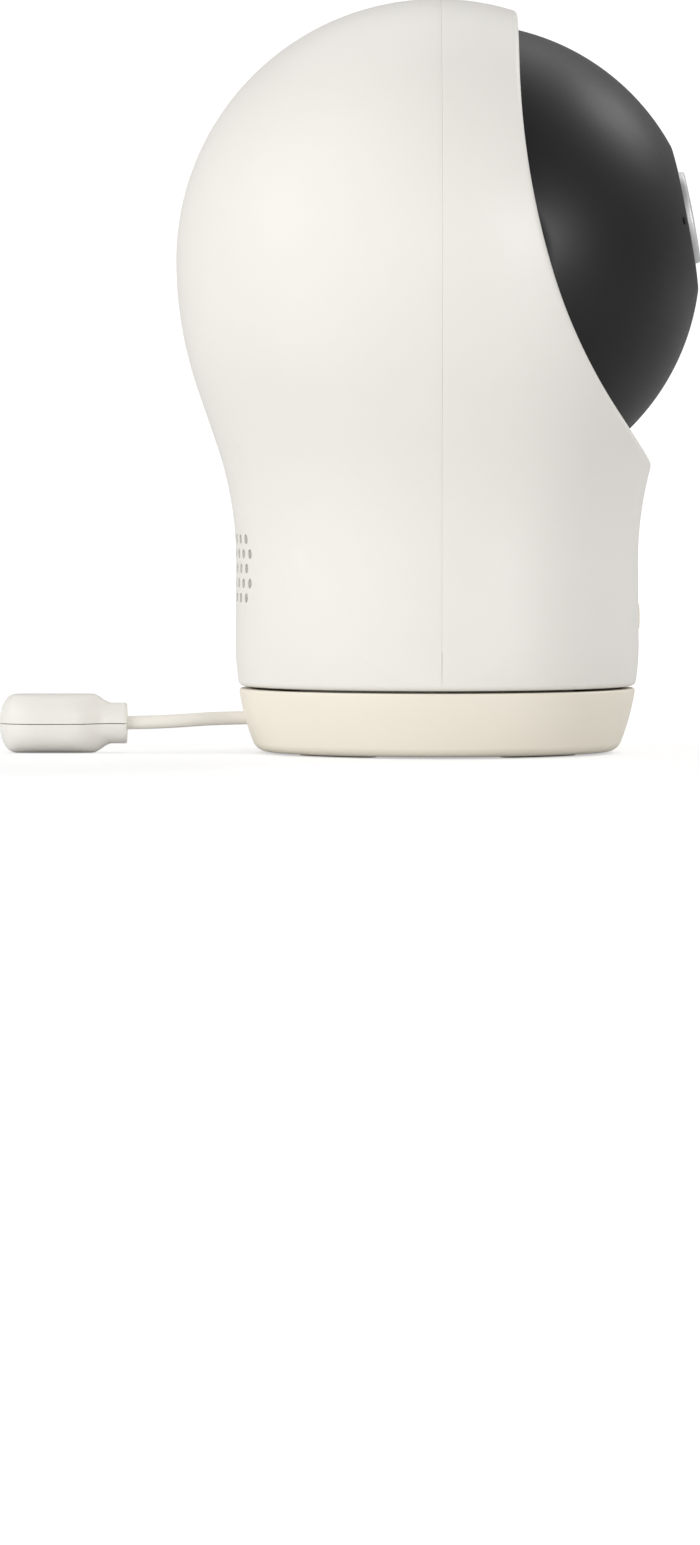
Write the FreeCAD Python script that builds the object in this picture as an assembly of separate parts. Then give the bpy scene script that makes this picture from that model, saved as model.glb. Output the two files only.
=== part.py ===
import FreeCAD, Part
import math
import os

# Pan and tilt baby monitor camera, in millimetres and degrees.
# +X is the way the eye looks, +Z is up, and Z is also the axis that the head pans about.
# The origin is on that axis, in the plane of the rubber feet.

Vector = FreeCAD.Vector
ORIGIN = Vector(0, 0, 0)
X = Vector(1, 0, 0)
Y = Vector(0, 1, 0)
Z = Vector(0, 0, 1)

# Head housing: a turned shape with a ball top, a full cheek, a hollow waist and a straight neck
HEAD_RADIUS = 42.8
HEAD_Z = 80.7
CHEEK_RADIUS = 65.2
FLARE = 18.8
NECK_RADIUS = 33.0
WAIST_Z = 31.5
HOUSING_FOOT_Z = 11.05
WALL = 2.0
SEAM_X = 0.5
SEAM_GAP = 0.06

# Hood opening, as the eye sees it from the side
HOOD_X = 13.05
HOOD_TOP_Z = 113.0
HOOD_SIDE_RADIUS = 117.0
HOOD_SIDE_TURN = 17.2
HOOD_LOW_RADIUS = 82.0
HOOD_LOW_TURN = 35.0
HOOD_ROUNDING = 0.8

# Eye: a ball on a level axis along Y
EYE_X = 4.33
EYE_RADIUS = 38.77
EYE_WALL = 2.0
EYE_HALF_WIDTH = 36.4
LENS_UP = 10.8
FACE_CROWN = 37.47
FACE_DOME_RADIUS = 120.0
LENS_RING_RADIUS = 7.6
LENS_RING_FRONT = 38.1
WINDOW_SEAT = 35.4
SENSOR_BOARD_BACK = 15.8
SENSOR_BOARD_SEATS = ((13, 13), (13, -13), (-13, 13), (-13, -13))
EYE_BOSS_OFFSET = 23.0

# Base
BASE_RIM_Z = 10.65
DECK_Z = 9.2
DECK_UNDERSIDE = 7.6
HUB_RADIUS = 9.0
HUB_BORE = 6.0
HUB_TOP = 14.0
COVER_LOW = 0.3
COVER_TOP = 2.3
COVER_RADIUS = 27.0
FOOT_INNER = 21.6
FOOT_OUTER = 25.8
FOOT_HALF_ANGLE = 14.5
BASE_SCREW_RADIUS = 18.0
BASE_SCREW_ANGLES = (90, 210, 330)
HUB_SCREW_RADIUS = 7.5
INLET_ANGLE = 150.0
INLET_Z = 5.63
SOCKET_HALF_HEIGHT = 1.63
TRIPOD_RADIUS = 2.6
TRIPOD_DEPTH_Z = 5.1

# Swivel plate and the housing screws
PLATE_LOW = 11.4
PLATE_TOP = 13.4
PLATE_RADIUS = 30.7
PLATE_SCREW_RADIUS = 28.2
PLATE_SCREW_ANGLES = (45, 135, 225, 315)
STOP_RADIUS = 15.0
STOP_HALF_ANGLE = 40.8

# Gears and motors
MODULE = 0.5
PRESSURE_ANGLE = 20.0
BACKLASH = 0.14
PAN_TEETH = 54
TILT_TEETH = 36
PINION_TEETH = 18
PAN_PINION_X = MODULE * (PAN_TEETH + PINION_TEETH) / 2
TILT_PINION_X = -MODULE * (TILT_TEETH + PINION_TEETH) / 2
MOTOR_RADIUS = 10.0
MOTOR_OFFSET = 6.0
EAR_REACH = 14.5
SHAFT_RADIUS = 1.5
TRUNNION_RADIUS = 4.0

# Sensor lead and pod, behind the base
LEAD_RADIUS = 1.1
LEAD_Z = 5.75
POD_Z = 4.85
LEAD_ROUTE = (
    (-26.5, 0, LEAD_Z),
    (-35.5, 0, LEAD_Z),
    (-46.5, 0, POD_Z),
    (-57.4, 0, POD_Z),
)
POD_END_X = -71.8
POD_SHOULDER_X = -53.7
POD_MOUTH_X = -50.9
POD_WIDTH = 14.0
POD_CORNER = 6.4
POD_EDGE_ROUNDING = 4.0
POD_SPLIT_GAP = 0.06

# Cables inside, which meet on the pan axis
HARNESS_RADIUS = 0.8
HARNESS_JOIN_Z = 12.0

# Grille at the back of the neck
GRILLE_Z = 30.4
GRILLE_PITCH = 2.4
GRILLE_TURN = 5.5
GRILLE_HOLE_RADIUS = 0.8

BUTTON_Z = 22.4
BUTTON_RADIUS = 2.1


# ---- drawing helpers ----

def outline(start, *steps):
    """Closed wire in the XZ plane. A step is a point to run straight to, or (through, end) for an arc."""
    edges = []
    here = Vector(start[0], 0, start[1])
    for step in (*steps, start):
        if isinstance(step[0], tuple):
            through, end = (Vector(x, 0, z) for x, z in step)
            edges.append(Part.Arc(here, through, end).toShape())
        else:
            end = Vector(step[0], 0, step[1])
            edges.append(Part.LineSegment(here, end).toShape())
        here = end
    return Part.Wire(edges)


def turned(axis, start, *steps):
    """Solid turned about an axis through the origin, from an outline in the XZ plane."""
    return Part.Face(outline(start, *steps)).revolve(ORIGIN, axis, 360)


def cap(rim_x, rim_radius, crown_x):
    """Arc step from the rim of a lens-like cap to its crown on the X axis, with its centre on that axis."""
    height = abs(crown_x - rim_x)
    radius = (rim_radius ** 2 + height ** 2) / (2 * height)
    half_turn = math.asin(rim_radius / radius) / 2
    side = 1 if crown_x > rim_x else -1
    through = (crown_x - side * radius * (1 - math.cos(half_turn)), radius * math.sin(half_turn))
    return (through, (crown_x, 0))


def rod(radius, start, end):
    return Part.makeCylinder(radius, (end - start).Length, start, end - start)


def post(radius, x, y, low, high):
    return rod(radius, Vector(x, y, low), Vector(x, y, high))


def ring(outer, inner, low, high):
    return post(outer, 0, 0, low, high).cut(post(inner, 0, 0, low - 1, high + 1))


def lens_ring_between(outer, inner, back, front):
    """Ring about the lens axis, which is X in the eye's own frame."""
    solid = rod(outer, Vector(back, 0, 0), Vector(front, 0, 0))
    return solid.cut(rod(inner, Vector(back - 1, 0, 0), Vector(front + 1, 0, 0)))


def block(x, y, z):
    """Box from three (low, high) pairs."""
    size = (x[1] - x[0], y[1] - y[0], z[1] - z[0])
    return Part.makeBox(*size, Vector(x[0], y[0], z[0]))


def joined(first, *others):
    return first.multiFuse(list(others)).removeSplitter()


def without(shape, *tools):
    return shape.cut(list(tools))


def around(radius, degrees, z=0.0):
    angle = math.radians(degrees)
    return Vector(radius * math.cos(angle), radius * math.sin(angle), z)


def about(axis, shape, degrees):
    result = shape.copy()
    result.rotate(ORIGIN, axis, degrees)
    return result


def moved(shape, x, y, z):
    result = shape.copy()
    result.translate(Vector(x, y, z))
    return result


def group(shapes):
    return Part.makeCompound(shapes)


def pin_at(radius, point, low, high):
    return post(radius, point.x, point.y, low, high)


def screw(seat, direction, head_radius, shank_radius, length):
    """Pan head screw with a cross recess. Its head sits on seat, and its shank points along direction."""
    head_height = 0.55 * head_radius
    slot = 0.35 * head_radius
    reach = 0.6 * head_radius
    tip = 0.8 * shank_radius
    solid = turned(
        Z,
        (0, -head_height),
        (0.55 * head_radius, -head_height),
        ((0.9 * head_radius, -0.75 * head_height), (head_radius, 0)),
        (shank_radius, 0),
        (shank_radius, length - tip),
        (0.35 * shank_radius, length),
        (0, length),
    )
    recess_depth = (-head_height - 1, -0.4 * head_height)
    solid = solid.cut(block((-reach, reach), (-slot / 2, slot / 2), recess_depth))
    solid = solid.cut(block((-slot / 2, slot / 2), (-reach, reach), recess_depth))
    solid.Placement = FreeCAD.Placement(seat, FreeCAD.Rotation(Z, direction))
    return solid


def gear(teeth, low, high, bore, first_tooth):
    """Spur gear about Z with involute flanks. A tooth is centred on the angle first_tooth."""
    pitch_radius = MODULE * teeth / 2
    base_radius = pitch_radius * math.cos(math.radians(PRESSURE_ANGLE))
    root_radius = pitch_radius - 1.25 * MODULE
    tip_radius = pitch_radius + MODULE
    start_radius = max(base_radius, root_radius)

    def involute(radius):
        angle = math.acos(min(1.0, base_radius / radius))
        return math.tan(angle) - angle

    pitch_half = math.pi / (2 * teeth) - BACKLASH / (4 * pitch_radius) + involute(pitch_radius)
    flank = [(root_radius, pitch_half - involute(start_radius))]
    for step in range(4):
        radius = start_radius + (tip_radius - start_radius) * step / 3
        flank.append((radius, pitch_half - involute(radius)))
    corners = []
    for tooth in range(teeth):
        centre = math.radians(first_tooth) + 2 * math.pi * tooth / teeth
        for radius, half in flank:
            corners.append(around(radius, math.degrees(centre - half), low))
        for radius, half in reversed(flank):
            corners.append(around(radius, math.degrees(centre + half), low))
    unique = [corners[0]]
    for corner in corners[1:]:
        if (corner - unique[-1]).Length > 1e-6:
            unique.append(corner)
    blank = Part.Face(Part.makePolygon(unique + [unique[0]])).extrude(Vector(0, 0, high - low))
    return blank.cut(post(bore, 0, 0, low - 1, high + 1))


def wire_along(name, route, radius):
    """Round wire along straight runs that tangent arcs join, each arc as large as its two runs allow."""
    points = [Vector(*point) for point in route]
    edges = []
    radii = []
    here = points[0]
    for before, corner, after in zip(points, points[1:], points[2:]):
        inward = (corner - before).normalize()
        outward = (after - corner).normalize()
        turn = inward.getAngle(outward)
        setback = 0.45 * min((corner - before).Length, (after - corner).Length)
        bend = setback / math.tan(turn / 2)
        arc_start = corner - inward * setback
        arc_end = corner + outward * setback
        to_centre = (outward - inward).normalize()
        through = corner + to_centre * (bend / math.cos(turn / 2) - bend)
        edges.append(Part.LineSegment(here, arc_start).toShape())
        edges.append(Part.Arc(arc_start, through, arc_end).toShape())
        radii.append(bend)
        here = arc_end
    edges.append(Part.LineSegment(here, points[-1]).toShape())
    spine = Part.Wire(edges)
    section = Part.Wire(Part.makeCircle(radius, points[0], points[1] - points[0]))
    solid = spine.makePipeShell([section], True, True)
    expected = math.pi * radius ** 2 * spine.Length
    print(name, "length %.2f mm" % spine.Length, "bend radii", ["%.1f" % bend for bend in radii],
          "volume / (section x length) %.4f" % (solid.Volume / expected))
    return solid


# ---- base ----

# The base's side, from its lower edge up: a rounded foot, a slightly bowed wall and a rounded lip
BASE_SIDE = (
    (28.0, COVER_LOW),
    ((29.55, 0.9), (30.25, 2.0)),
    ((31.75, 6.6), (32.5, 10.25)),
    ((32.4, 10.55), (32.1, BASE_RIM_Z)),
)


def base_outside():
    """Solid inside the base's outer surface."""
    return turned(Z, (0, COVER_LOW), *BASE_SIDE, (0, BASE_RIM_Z))


def base_shell():
    rim_inner = 30.6
    shell = turned(
        Z, *BASE_SIDE, (rim_inner, BASE_RIM_Z), (rim_inner, DECK_Z), (HUB_RADIUS, DECK_Z),
        (HUB_RADIUS, HUB_TOP), (HUB_BORE, HUB_TOP), (HUB_BORE, DECK_UNDERSIDE), (29.7, DECK_UNDERSIDE),
        (26.4, COVER_TOP), (COVER_RADIUS + 0.1, COVER_TOP), (COVER_RADIUS + 0.1, COVER_LOW),
    )
    bosses = [pin_at(3.0, around(BASE_SCREW_RADIUS, angle), COVER_TOP + 0.05, DECK_UNDERSIDE + 0.1)
              for angle in BASE_SCREW_ANGLES]
    shell = joined(shell, pan_stop(), *bosses)
    pilots = [pin_at(1.05, around(BASE_SCREW_RADIUS, angle), 0, DECK_UNDERSIDE + 0.4)
              for angle in BASE_SCREW_ANGLES]
    hub_holes = [pin_at(0.85, around(HUB_SCREW_RADIUS, angle), 5, 15) for angle in BASE_SCREW_ANGLES]
    hub_seats = [pin_at(1.48, around(HUB_SCREW_RADIUS, angle), 5, 8.8) for angle in BASE_SCREW_ANGLES]
    glide_groove = ring(22.5, 20.0, DECK_Z - 0.4, DECK_Z + 1)
    lead_hole = rod(1.75, Vector(-36, 0, LEAD_Z), Vector(-26, 0, LEAD_Z))
    flange_pocket = rod(2.45, Vector(-28.8, 0, LEAD_Z), Vector(-25, 0, LEAD_Z))
    return without(shell, *pilots, *hub_holes, *hub_seats, glide_groove, lead_hole, flange_pocket,
                   inlet_shape(4.8, 1.95, 22.0, 36.0))


def pan_stop():
    """Raised arc on the deck that the swivel plate's peg runs into at each end of the pan."""
    ridge = ring(STOP_RADIUS + 1, STOP_RADIUS - 1, DECK_Z - 0.1, DECK_Z + 1.6)
    sides = [around(60, 180 + turn) for turn in (-STOP_HALF_ANGLE, STOP_HALF_ANGLE)]
    corners = [ORIGIN, sides[0], Vector(-90, 0, 0), sides[1]]
    wedge = Part.Face(Part.makePolygon(corners + [ORIGIN])).extrude(Vector(0, 0, 20))
    return ridge.common(wedge)


def inlet_shape(half_width, half_height, inner, outer):
    """Flat-sided round-ended bar that points out of the base at the power inlet."""
    sides = (half_height - half_width, half_width - half_height)
    bar = block((inner, outer), sides, (-half_height, half_height))
    ends = [rod(half_height, Vector(inner, side, 0), Vector(outer, side, 0)) for side in sides]
    return about(Z, moved(joined(bar, *ends), 0, 0, INLET_Z), INLET_ANGLE)


def foot_outline(low, high, extra):
    """Arc-shaped pad with round ends, at 45 degrees, larger all round by extra."""
    middle = (FOOT_INNER + FOOT_OUTER) / 2
    half = (FOOT_OUTER - FOOT_INNER) / 2 + extra
    first, last = 45 - FOOT_HALF_ANGLE, 45 + FOOT_HALF_ANGLE
    edges = [
        Part.Arc(around(middle + half, first, low), around(middle + half, 45, low),
                 around(middle + half, last, low)).toShape(),
        Part.Arc(around(middle + half, last, low),
                 around(middle, last, low) + around(half, last + 90),
                 around(middle - half, last, low)).toShape(),
        Part.Arc(around(middle - half, last, low), around(middle - half, 45, low),
                 around(middle - half, first, low)).toShape(),
        Part.Arc(around(middle - half, first, low),
                 around(middle, first, low) + around(half, first - 90),
                 around(middle + half, first, low)).toShape(),
    ]
    return Part.Face(Part.Wire(edges)).extrude(Vector(0, 0, high - low))


def foot_pads():
    pad = foot_outline(0.0, 0.9, 0.0)
    rim = [edge for edge in pad.Edges if edge.BoundBox.ZMax < 0.01]
    pad = pad.makeFillet(0.25, rim)
    return group([about(Z, pad, 90 * turn) for turn in range(4)])


def base_cover():
    disc = post(COVER_RADIUS, 0, 0, COVER_LOW, COVER_TOP)
    boss = post(4.7, 0, 0, COVER_LOW, 5.8)
    props = [about(Z, post(1.4, 14.0, side, COVER_LOW, 3.0), INLET_ANGLE) for side in (-5.5, 5.5)]
    cover = joined(disc, boss, *props)
    recesses = [about(Z, foot_outline(-1.0, 0.9, 0.08), 90 * turn) for turn in range(4)]
    heads = [pin_at(2.1, around(BASE_SCREW_RADIUS, angle), -1, 1.3) for angle in BASE_SCREW_ANGLES]
    holes = [pin_at(1.15, around(BASE_SCREW_RADIUS, angle), -1, 4) for angle in BASE_SCREW_ANGLES]
    return without(cover, tripod_bore(), *recesses, *heads, *holes)


def tripod_bore():
    """Plain bore at the minor diameter of a quarter-inch tripod thread, with a lead-in chamfer."""
    return turned(
        Z,
        (0, -1),
        (TRIPOD_RADIUS + 1.3, -1),
        (TRIPOD_RADIUS, COVER_LOW + 0.4),
        (TRIPOD_RADIUS, TRIPOD_DEPTH_Z),
        (0, TRIPOD_DEPTH_Z),
    )


def base_screws():
    seats = [around(BASE_SCREW_RADIUS, angle, 1.3) for angle in BASE_SCREW_ANGLES]
    return group([screw(seat, Z, 1.9, 1.0, 6.0) for seat in seats])


def gear_screws():
    seats = [around(HUB_SCREW_RADIUS, angle, 8.8) for angle in BASE_SCREW_ANGLES]
    return group([screw(seat, Z, 1.4, 0.8, 7.6) for seat in seats])


def ballast_plate():
    """Steel plate round most of the base that keeps the head from tipping it."""
    low, high = COVER_TOP + 0.05, COVER_TOP + 3.05
    plate = Part.makeCylinder(23.0, high - low, Vector(0, 0, low), Z, 188.0)
    plate = about(Z, plate, -110)
    return without(plate, post(11.0, 0, 0, 0, 10), pin_at(3.4, around(BASE_SCREW_RADIUS, 330), 0, 10))


def power_board():
    board = block((11.0, 25.2), (-8, 8), (3.0, 4.0))
    plug = block((11.5, 15.5), (-2.6, 2.6), (3.9, 7.3))
    coil = post(2.2, 19.0, 5.0, 3.9, 6.6)
    chip = block((18.0, 22.0), (-6.5, -2.5), (3.9, 5.0))
    return about(Z, joined(board, plug, coil, chip), INLET_ANGLE)


def usb_socket():
    shell = inlet_shape(4.47, SOCKET_HALF_HEIGHT, 23.6, 30.9)
    mouth = inlet_shape(4.17, SOCKET_HALF_HEIGHT - 0.3, 24.6, 32.0)
    tongue = moved(block((24.0, 30.2), (-3.3, 3.3), (-0.35, 0.35)), 0, 0, INLET_Z)
    return joined(shell.cut(mouth), about(Z, tongue, INLET_ANGLE))


def lead_grommet():
    sleeve = rod(1.7, Vector(-34, 0, LEAD_Z), Vector(-27, 0, LEAD_Z))
    flange = rod(2.4, Vector(-28.75, 0, LEAD_Z), Vector(-27, 0, LEAD_Z))
    return without(joined(sleeve, flange).common(base_outside()), sensor_lead_solid())


def sensor_lead_solid():
    return wire_along("sensor lead", LEAD_ROUTE, LEAD_RADIUS)


def pod_outside():
    """Solid inside the pod's outer surface: a rounded block that rests on the floor, and its neck."""
    body = block((POD_END_X, POD_SHOULDER_X), (-POD_WIDTH / 2, POD_WIDTH / 2), (-POD_Z, POD_Z))
    uprights = [edge for edge in body.Edges if edge.BoundBox.ZLength > 1]
    body = body.makeFillet(POD_CORNER, uprights)
    rims = [edge for edge in body.Edges if edge.BoundBox.ZLength < 0.01]
    body = body.makeFillet(POD_EDGE_ROUNDING, rims)
    neck = turned(X, (-60, 0), (-60, 3.9), (-54.6, 3.9), ((-53.9, 3.55), (-53.2, 3.35)), (-51.3, 3.35),
                  ((-51.0, 3.2), (POD_MOUTH_X, 2.9)), (POD_MOUTH_X, 0))
    return moved(joined(body, neck), 0, 0, POD_Z)


def sensor_pod_half(side):
    """Pod shell above (+1) or below (-1) the split at mid height."""
    cavity = block((-70.0, -57.4), (-5.4, 5.4), (-3.5, 3.5))
    cavity = moved(cavity.makeFillet(2.5, cavity.Edges), 0, 0, POD_Z)
    near, far = sorted((POD_Z + side * POD_SPLIT_GAP, POD_Z + side * 10))
    half = pod_outside().common(block((-80, -40), (-10, 10), (near, far)))
    return without(half, cavity, sensor_lead_solid())


def sensor_pod_upper():
    return sensor_pod_half(1)


def sensor_pod_lower():
    return sensor_pod_half(-1)


def thermistor_board():
    board = block((-68.6, -57.7), (-3.4, 3.4), (POD_Z - 0.5, POD_Z + 0.5))
    bead = Part.makeSphere(0.9, Vector(-66.5, 0, POD_Z + 1.1))
    return joined(board, bead)


def glide_ring():
    return ring(22.4, 20.1, DECK_Z - 0.4, PLATE_LOW - 0.06)


def pan_ring_gear():
    wheel = gear(PAN_TEETH, HUB_TOP, HUB_TOP + 3, HUB_BORE, 0)
    holes = [pin_at(0.85, around(HUB_SCREW_RADIUS, angle), 10, 20) for angle in BASE_SCREW_ANGLES]
    return without(wheel, *holes)


def lower_harness():
    plug_face = around(11.4, INLET_ANGLE, 6.6)
    route = ((0, 0, HARNESS_JOIN_Z), (0, 0, 6.6), tuple(plug_face))
    return wire_along("lower harness", route, HARNESS_RADIUS)


def upper_harness():
    route = ((-17.9, 0, 20.5), (0, 0, 20.5), (0, 0, HARNESS_JOIN_Z))
    return wire_along("upper harness", route, HARNESS_RADIUS)


# ---- head ----

def housing_solid(inset):
    """Solid inside the housing's outer surface, taken in by inset."""
    flare = math.radians(FLARE)
    cheek_x = HEAD_RADIUS - CHEEK_RADIUS

    def cheek(angle):
        radius = CHEEK_RADIUS - inset
        return (cheek_x + radius * math.cos(angle), HEAD_Z - radius * math.sin(angle))

    cheek_end_r = cheek_x + CHEEK_RADIUS * math.cos(flare)
    cheek_end_z = HEAD_Z - CHEEK_RADIUS * math.sin(flare)
    drop = cheek_end_z - WAIST_Z
    waist_radius = (math.tan(flare) * drop - (cheek_end_r - NECK_RADIUS)) / (1 / math.cos(flare) - 1)

    def waist(angle):
        radius = waist_radius + inset
        return (NECK_RADIUS + waist_radius - radius * math.cos(angle), WAIST_Z + radius * math.sin(angle))

    crown = HEAD_RADIUS - inset
    diagonal = math.radians(45)
    top = [
        (0, HEAD_Z + crown),
        ((crown * math.sin(diagonal), HEAD_Z + crown * math.cos(diagonal)), (crown, HEAD_Z)),
        (cheek(flare / 2), cheek(flare)),
        waist(flare),
        (waist(flare / 2), waist(0)),
    ]
    if inset:
        foot = [(NECK_RADIUS - inset, HOUSING_FOOT_Z - 1), (0, HOUSING_FOOT_Z - 1)]
    else:
        foot = [
            (33.15, 18.0),
            ((33.05, 14.8), (32.7, 12.0)),
            ((32.45, 11.3), (31.8, HOUSING_FOOT_Z)),
            (0, HOUSING_FOOT_Z),
        ]
    return turned(Z, *top, *foot)


def housing_half(low_x, high_x, angles):
    """Part of the housing between two X planes, with screw bosses at the angles given."""
    shell = housing_solid(0).cut(housing_solid(WALL))
    bosses = [pin_at(3.0, around(PLATE_SCREW_RADIUS, angle), PLATE_TOP + 0.05, 22) for angle in angles]
    keep = housing_solid(0.5)
    shell = joined(shell, *[boss.common(keep) for boss in bosses])
    pilots = [pin_at(1.05, around(PLATE_SCREW_RADIUS, angle), 10, 20.5) for angle in angles]
    shell = shell.common(block((low_x, high_x), (-60, 60), (0, 140)))
    return without(shell, *pilots)


def hood_cutter():
    """Everything in front of the hood's edge, seen from the side."""
    first = math.radians(HOOD_SIDE_TURN)
    last = math.radians(HOOD_LOW_TURN)

    def on_arc(centre, radius, angle):
        return (centre[0] - radius * math.cos(angle), centre[1] - radius * math.sin(angle))

    side_centre = (HOOD_X + HOOD_SIDE_RADIUS, HOOD_TOP_Z)
    side_end = on_arc(side_centre, HOOD_SIDE_RADIUS, first)
    low_centre = (
        side_end[0] + HOOD_LOW_RADIUS * math.cos(first),
        side_end[1] + HOOD_LOW_RADIUS * math.sin(first),
    )
    low_end = on_arc(low_centre, HOOD_LOW_RADIUS, last)
    run = 27.0
    outside = (low_end[0] + run * math.sin(last), low_end[1] - run * math.cos(last))
    wire = outline(
        (HOOD_X, 130), (HOOD_X, HOOD_TOP_Z),
        (on_arc(side_centre, HOOD_SIDE_RADIUS, first / 2), side_end),
        (on_arc(low_centre, HOOD_LOW_RADIUS, (first + last) / 2), low_end),
        outside, (60, outside[1]), (60, 130),
    )
    return moved(Part.Face(wire), 0, -60, 0).extrude(Vector(0, 120, 0))


def rear_housing():
    shell = housing_half(-60, SEAM_X - SEAM_GAP / 2, (135, 225))
    holes = []
    for row in range(5):
        z = GRILLE_Z + GRILLE_PITCH * (row - 2)
        count = 9 if row % 2 else 8
        for column in range(count):
            angle = 180 + GRILLE_TURN * (column - (count - 1) / 2)
            holes.append(rod(GRILLE_HOLE_RADIUS, around(28, angle, z), around(40, angle, z)))
    return without(shell, *holes)


def front_housing():
    shell = housing_half(SEAM_X + SEAM_GAP / 2, 60, (45, 315))
    button_hole = rod(BUTTON_RADIUS + 0.2, Vector(28, 0, BUTTON_Z), Vector(40, 0, BUTTON_Z))
    cutter = hood_cutter()
    shell = without(shell, cutter, button_hole)
    outside = housing_solid(0).Faces
    rim = []
    for edge in shell.Edges:
        middle = Part.Vertex(edge.valueAt((edge.FirstParameter + edge.LastParameter) / 2))
        on_cut = middle.distToShape(Part.Shell(cutter.Faces))[0] < 0.01
        on_skin = min(middle.distToShape(face)[0] for face in outside) < 0.01
        if on_cut and on_skin and edge.BoundBox.XMin > SEAM_X + 1:
            rim.append(edge)
    return shell.makeFillet(HOOD_ROUNDING, rim)


def swivel_plate():
    motor_x = PAN_PINION_X - MOTOR_OFFSET
    plate = post(PLATE_RADIUS, 0, 0, PLATE_LOW, PLATE_TOP)
    peg = post(1.0, STOP_RADIUS, 0, DECK_Z + 0.5, PLATE_LOW + 0.5)
    motor_posts = [post(2.4, motor_x, side * EAR_REACH, PLATE_LOW, 18.4) for side in (-1, 1)]
    board_guides = [block((-22, -19.65), reach, (PLATE_LOW + 0.5, 34))
                    for reach in ((-16.5, -12.6), (12.6, 16.5))]
    plate = joined(plate, peg, *motor_posts, *board_guides)
    bore = post(HUB_RADIUS + 0.08, 0, 0, 0, 30)
    seats = [pin_at(1.8, around(PLATE_SCREW_RADIUS, angle), 10, 12.6) for angle in PLATE_SCREW_ANGLES]
    holes = [pin_at(1.15, around(PLATE_SCREW_RADIUS, angle), 10, 15) for angle in PLATE_SCREW_ANGLES]
    pilots = [post(0.85, motor_x, side * EAR_REACH, 13, 19) for side in (-1, 1)]
    return without(plate, bore, *seats, *holes, *pilots)


def plate_screws():
    return group([screw(around(PLATE_SCREW_RADIUS, angle, 12.6), Z, 1.65, 1.0, 7.0)
                  for angle in PLATE_SCREW_ANGLES])


def geared_motor():
    """Small geared motor about Z with its output shaft's hole at the origin and its can towards -X."""
    can = post(MOTOR_RADIUS, -MOTOR_OFFSET, 0, 0.8, 12.8)
    rim = [edge for edge in can.Edges if edge.BoundBox.ZMin > 12.7]
    can = can.makeFillet(0.8, rim)
    flange = post(MOTOR_RADIUS, -MOTOR_OFFSET, 0, 0, 0.8)
    strap = block((-MOTOR_OFFSET - 3, -MOTOR_OFFSET + 3), (-EAR_REACH, EAR_REACH), (0, 0.8))
    ears = [post(3.0, -MOTOR_OFFSET, side * EAR_REACH, 0, 0.8) for side in (-1, 1)]
    boss = post(3.5, 0, 0, -0.8, 0.8)
    tail = block((-MOTOR_OFFSET - 11.5, -MOTOR_OFFSET - 8), (-4, 4), (1.5, 8.5))
    holes = [post(0.95, -MOTOR_OFFSET, side * EAR_REACH, -2, 3) for side in (-1, 1)]
    shaft_bore = post(SHAFT_RADIUS + 0.1, 0, 0, -2, 3)
    return without(joined(can, flange, strap, boss, tail, *ears), *holes, shaft_bore)


def pan_motor():
    return moved(geared_motor(), PAN_PINION_X, 0, 18.4)


def pan_motor_screws():
    motor_x = PAN_PINION_X - MOTOR_OFFSET
    return group([screw(Vector(motor_x, side * EAR_REACH, 19.2), -Z, 1.5, 0.8, 5.0) for side in (-1, 1)])


def pan_pinion():
    return moved(gear(PINION_TEETH, 14.2, 17.2, SHAFT_RADIUS, 180 / PINION_TEETH), PAN_PINION_X, 0, 0)


def pan_shaft():
    return post(SHAFT_RADIUS, PAN_PINION_X, 0, 14.3, 21.2)


def speaker():
    basket = turned(
        X, (-27.9, 0), (-27.9, 12.0), (-26.3, 12.0), (-25.6, 9.5), (-24.2, 8.0), (-21.5, 8.0), (-21.5, 0),
    )
    cone = turned(X, (-30, 0), (-30, 9.5), (-27.9, 9.5), (-26.6, 4.0), cap(-26.6, 4.0, -27.6))
    return moved(basket.cut(cone), 0, 0, GRILLE_Z)


def speaker_gasket():
    pad = lens_ring_between(12.0, 10.3, -31.5, -27.9)
    return moved(pad, 0, 0, GRILLE_Z).common(post(30.95, 0, 0, 10, 50))


def main_board():
    board = block((-19.6, -18.0), (-16.5, 16.5), (14.0, 46.0))
    shield = block((-18.1, -15.5), (-9, 9), (27.0, 42.0))
    plug = block((-18.1, -16.2), (-13.5, -7.5), (16.5, 20.5))
    chip = block((-18.1, -17.0), (5, 12), (17.0, 23.0))
    card = block((-18.1, -16.4), (10, 16), (26.0, 40.0))
    return joined(board, shield, plug, chip, card)


def antenna():
    return block((-9, -1), (28.2, 29.0), (PLATE_TOP, 44))


def button_board():
    return block((25.6, 26.6), (-8, 8), (PLATE_TOP, 30))


def button_switch():
    body = block((26.6, 28.5), (-3, 3), (BUTTON_Z - 3, BUTTON_Z + 3))
    return joined(body, rod(1.7, Vector(28, 0, BUTTON_Z), Vector(29.5, 0, BUTTON_Z)))


def front_button():
    cap = turned(X, (30.6, 0), (30.6, BUTTON_RADIUS), (33.0, BUTTON_RADIUS),
                 ((33.17, BUTTON_RADIUS - 0.07), (33.25, BUTTON_RADIUS - 0.3)), (33.25, 0))
    flange = rod(2.9, Vector(29.9, 0, 0), Vector(30.6, 0, 0))
    return moved(joined(cap, flange), 0, 0, BUTTON_Z)


# ---- trunnions, between the head and the eye ----

def trunnion_socket(side, bore):
    """Disc inside the housing wall that a trunnion sits in, on the +Y (1) or -Y (-1) side."""
    disc = rod(7.0, Vector(EYE_X, side * 37.0, HEAD_Z), Vector(EYE_X, side * 43.0, HEAD_Z))
    disc = disc.common(Part.makeSphere(HEAD_RADIUS - WALL - 0.05, Vector(0, 0, HEAD_Z)))
    return disc.cut(rod(bore, Vector(EYE_X, side * 36.0, HEAD_Z), Vector(EYE_X, side * 44.0, HEAD_Z)))


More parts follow.
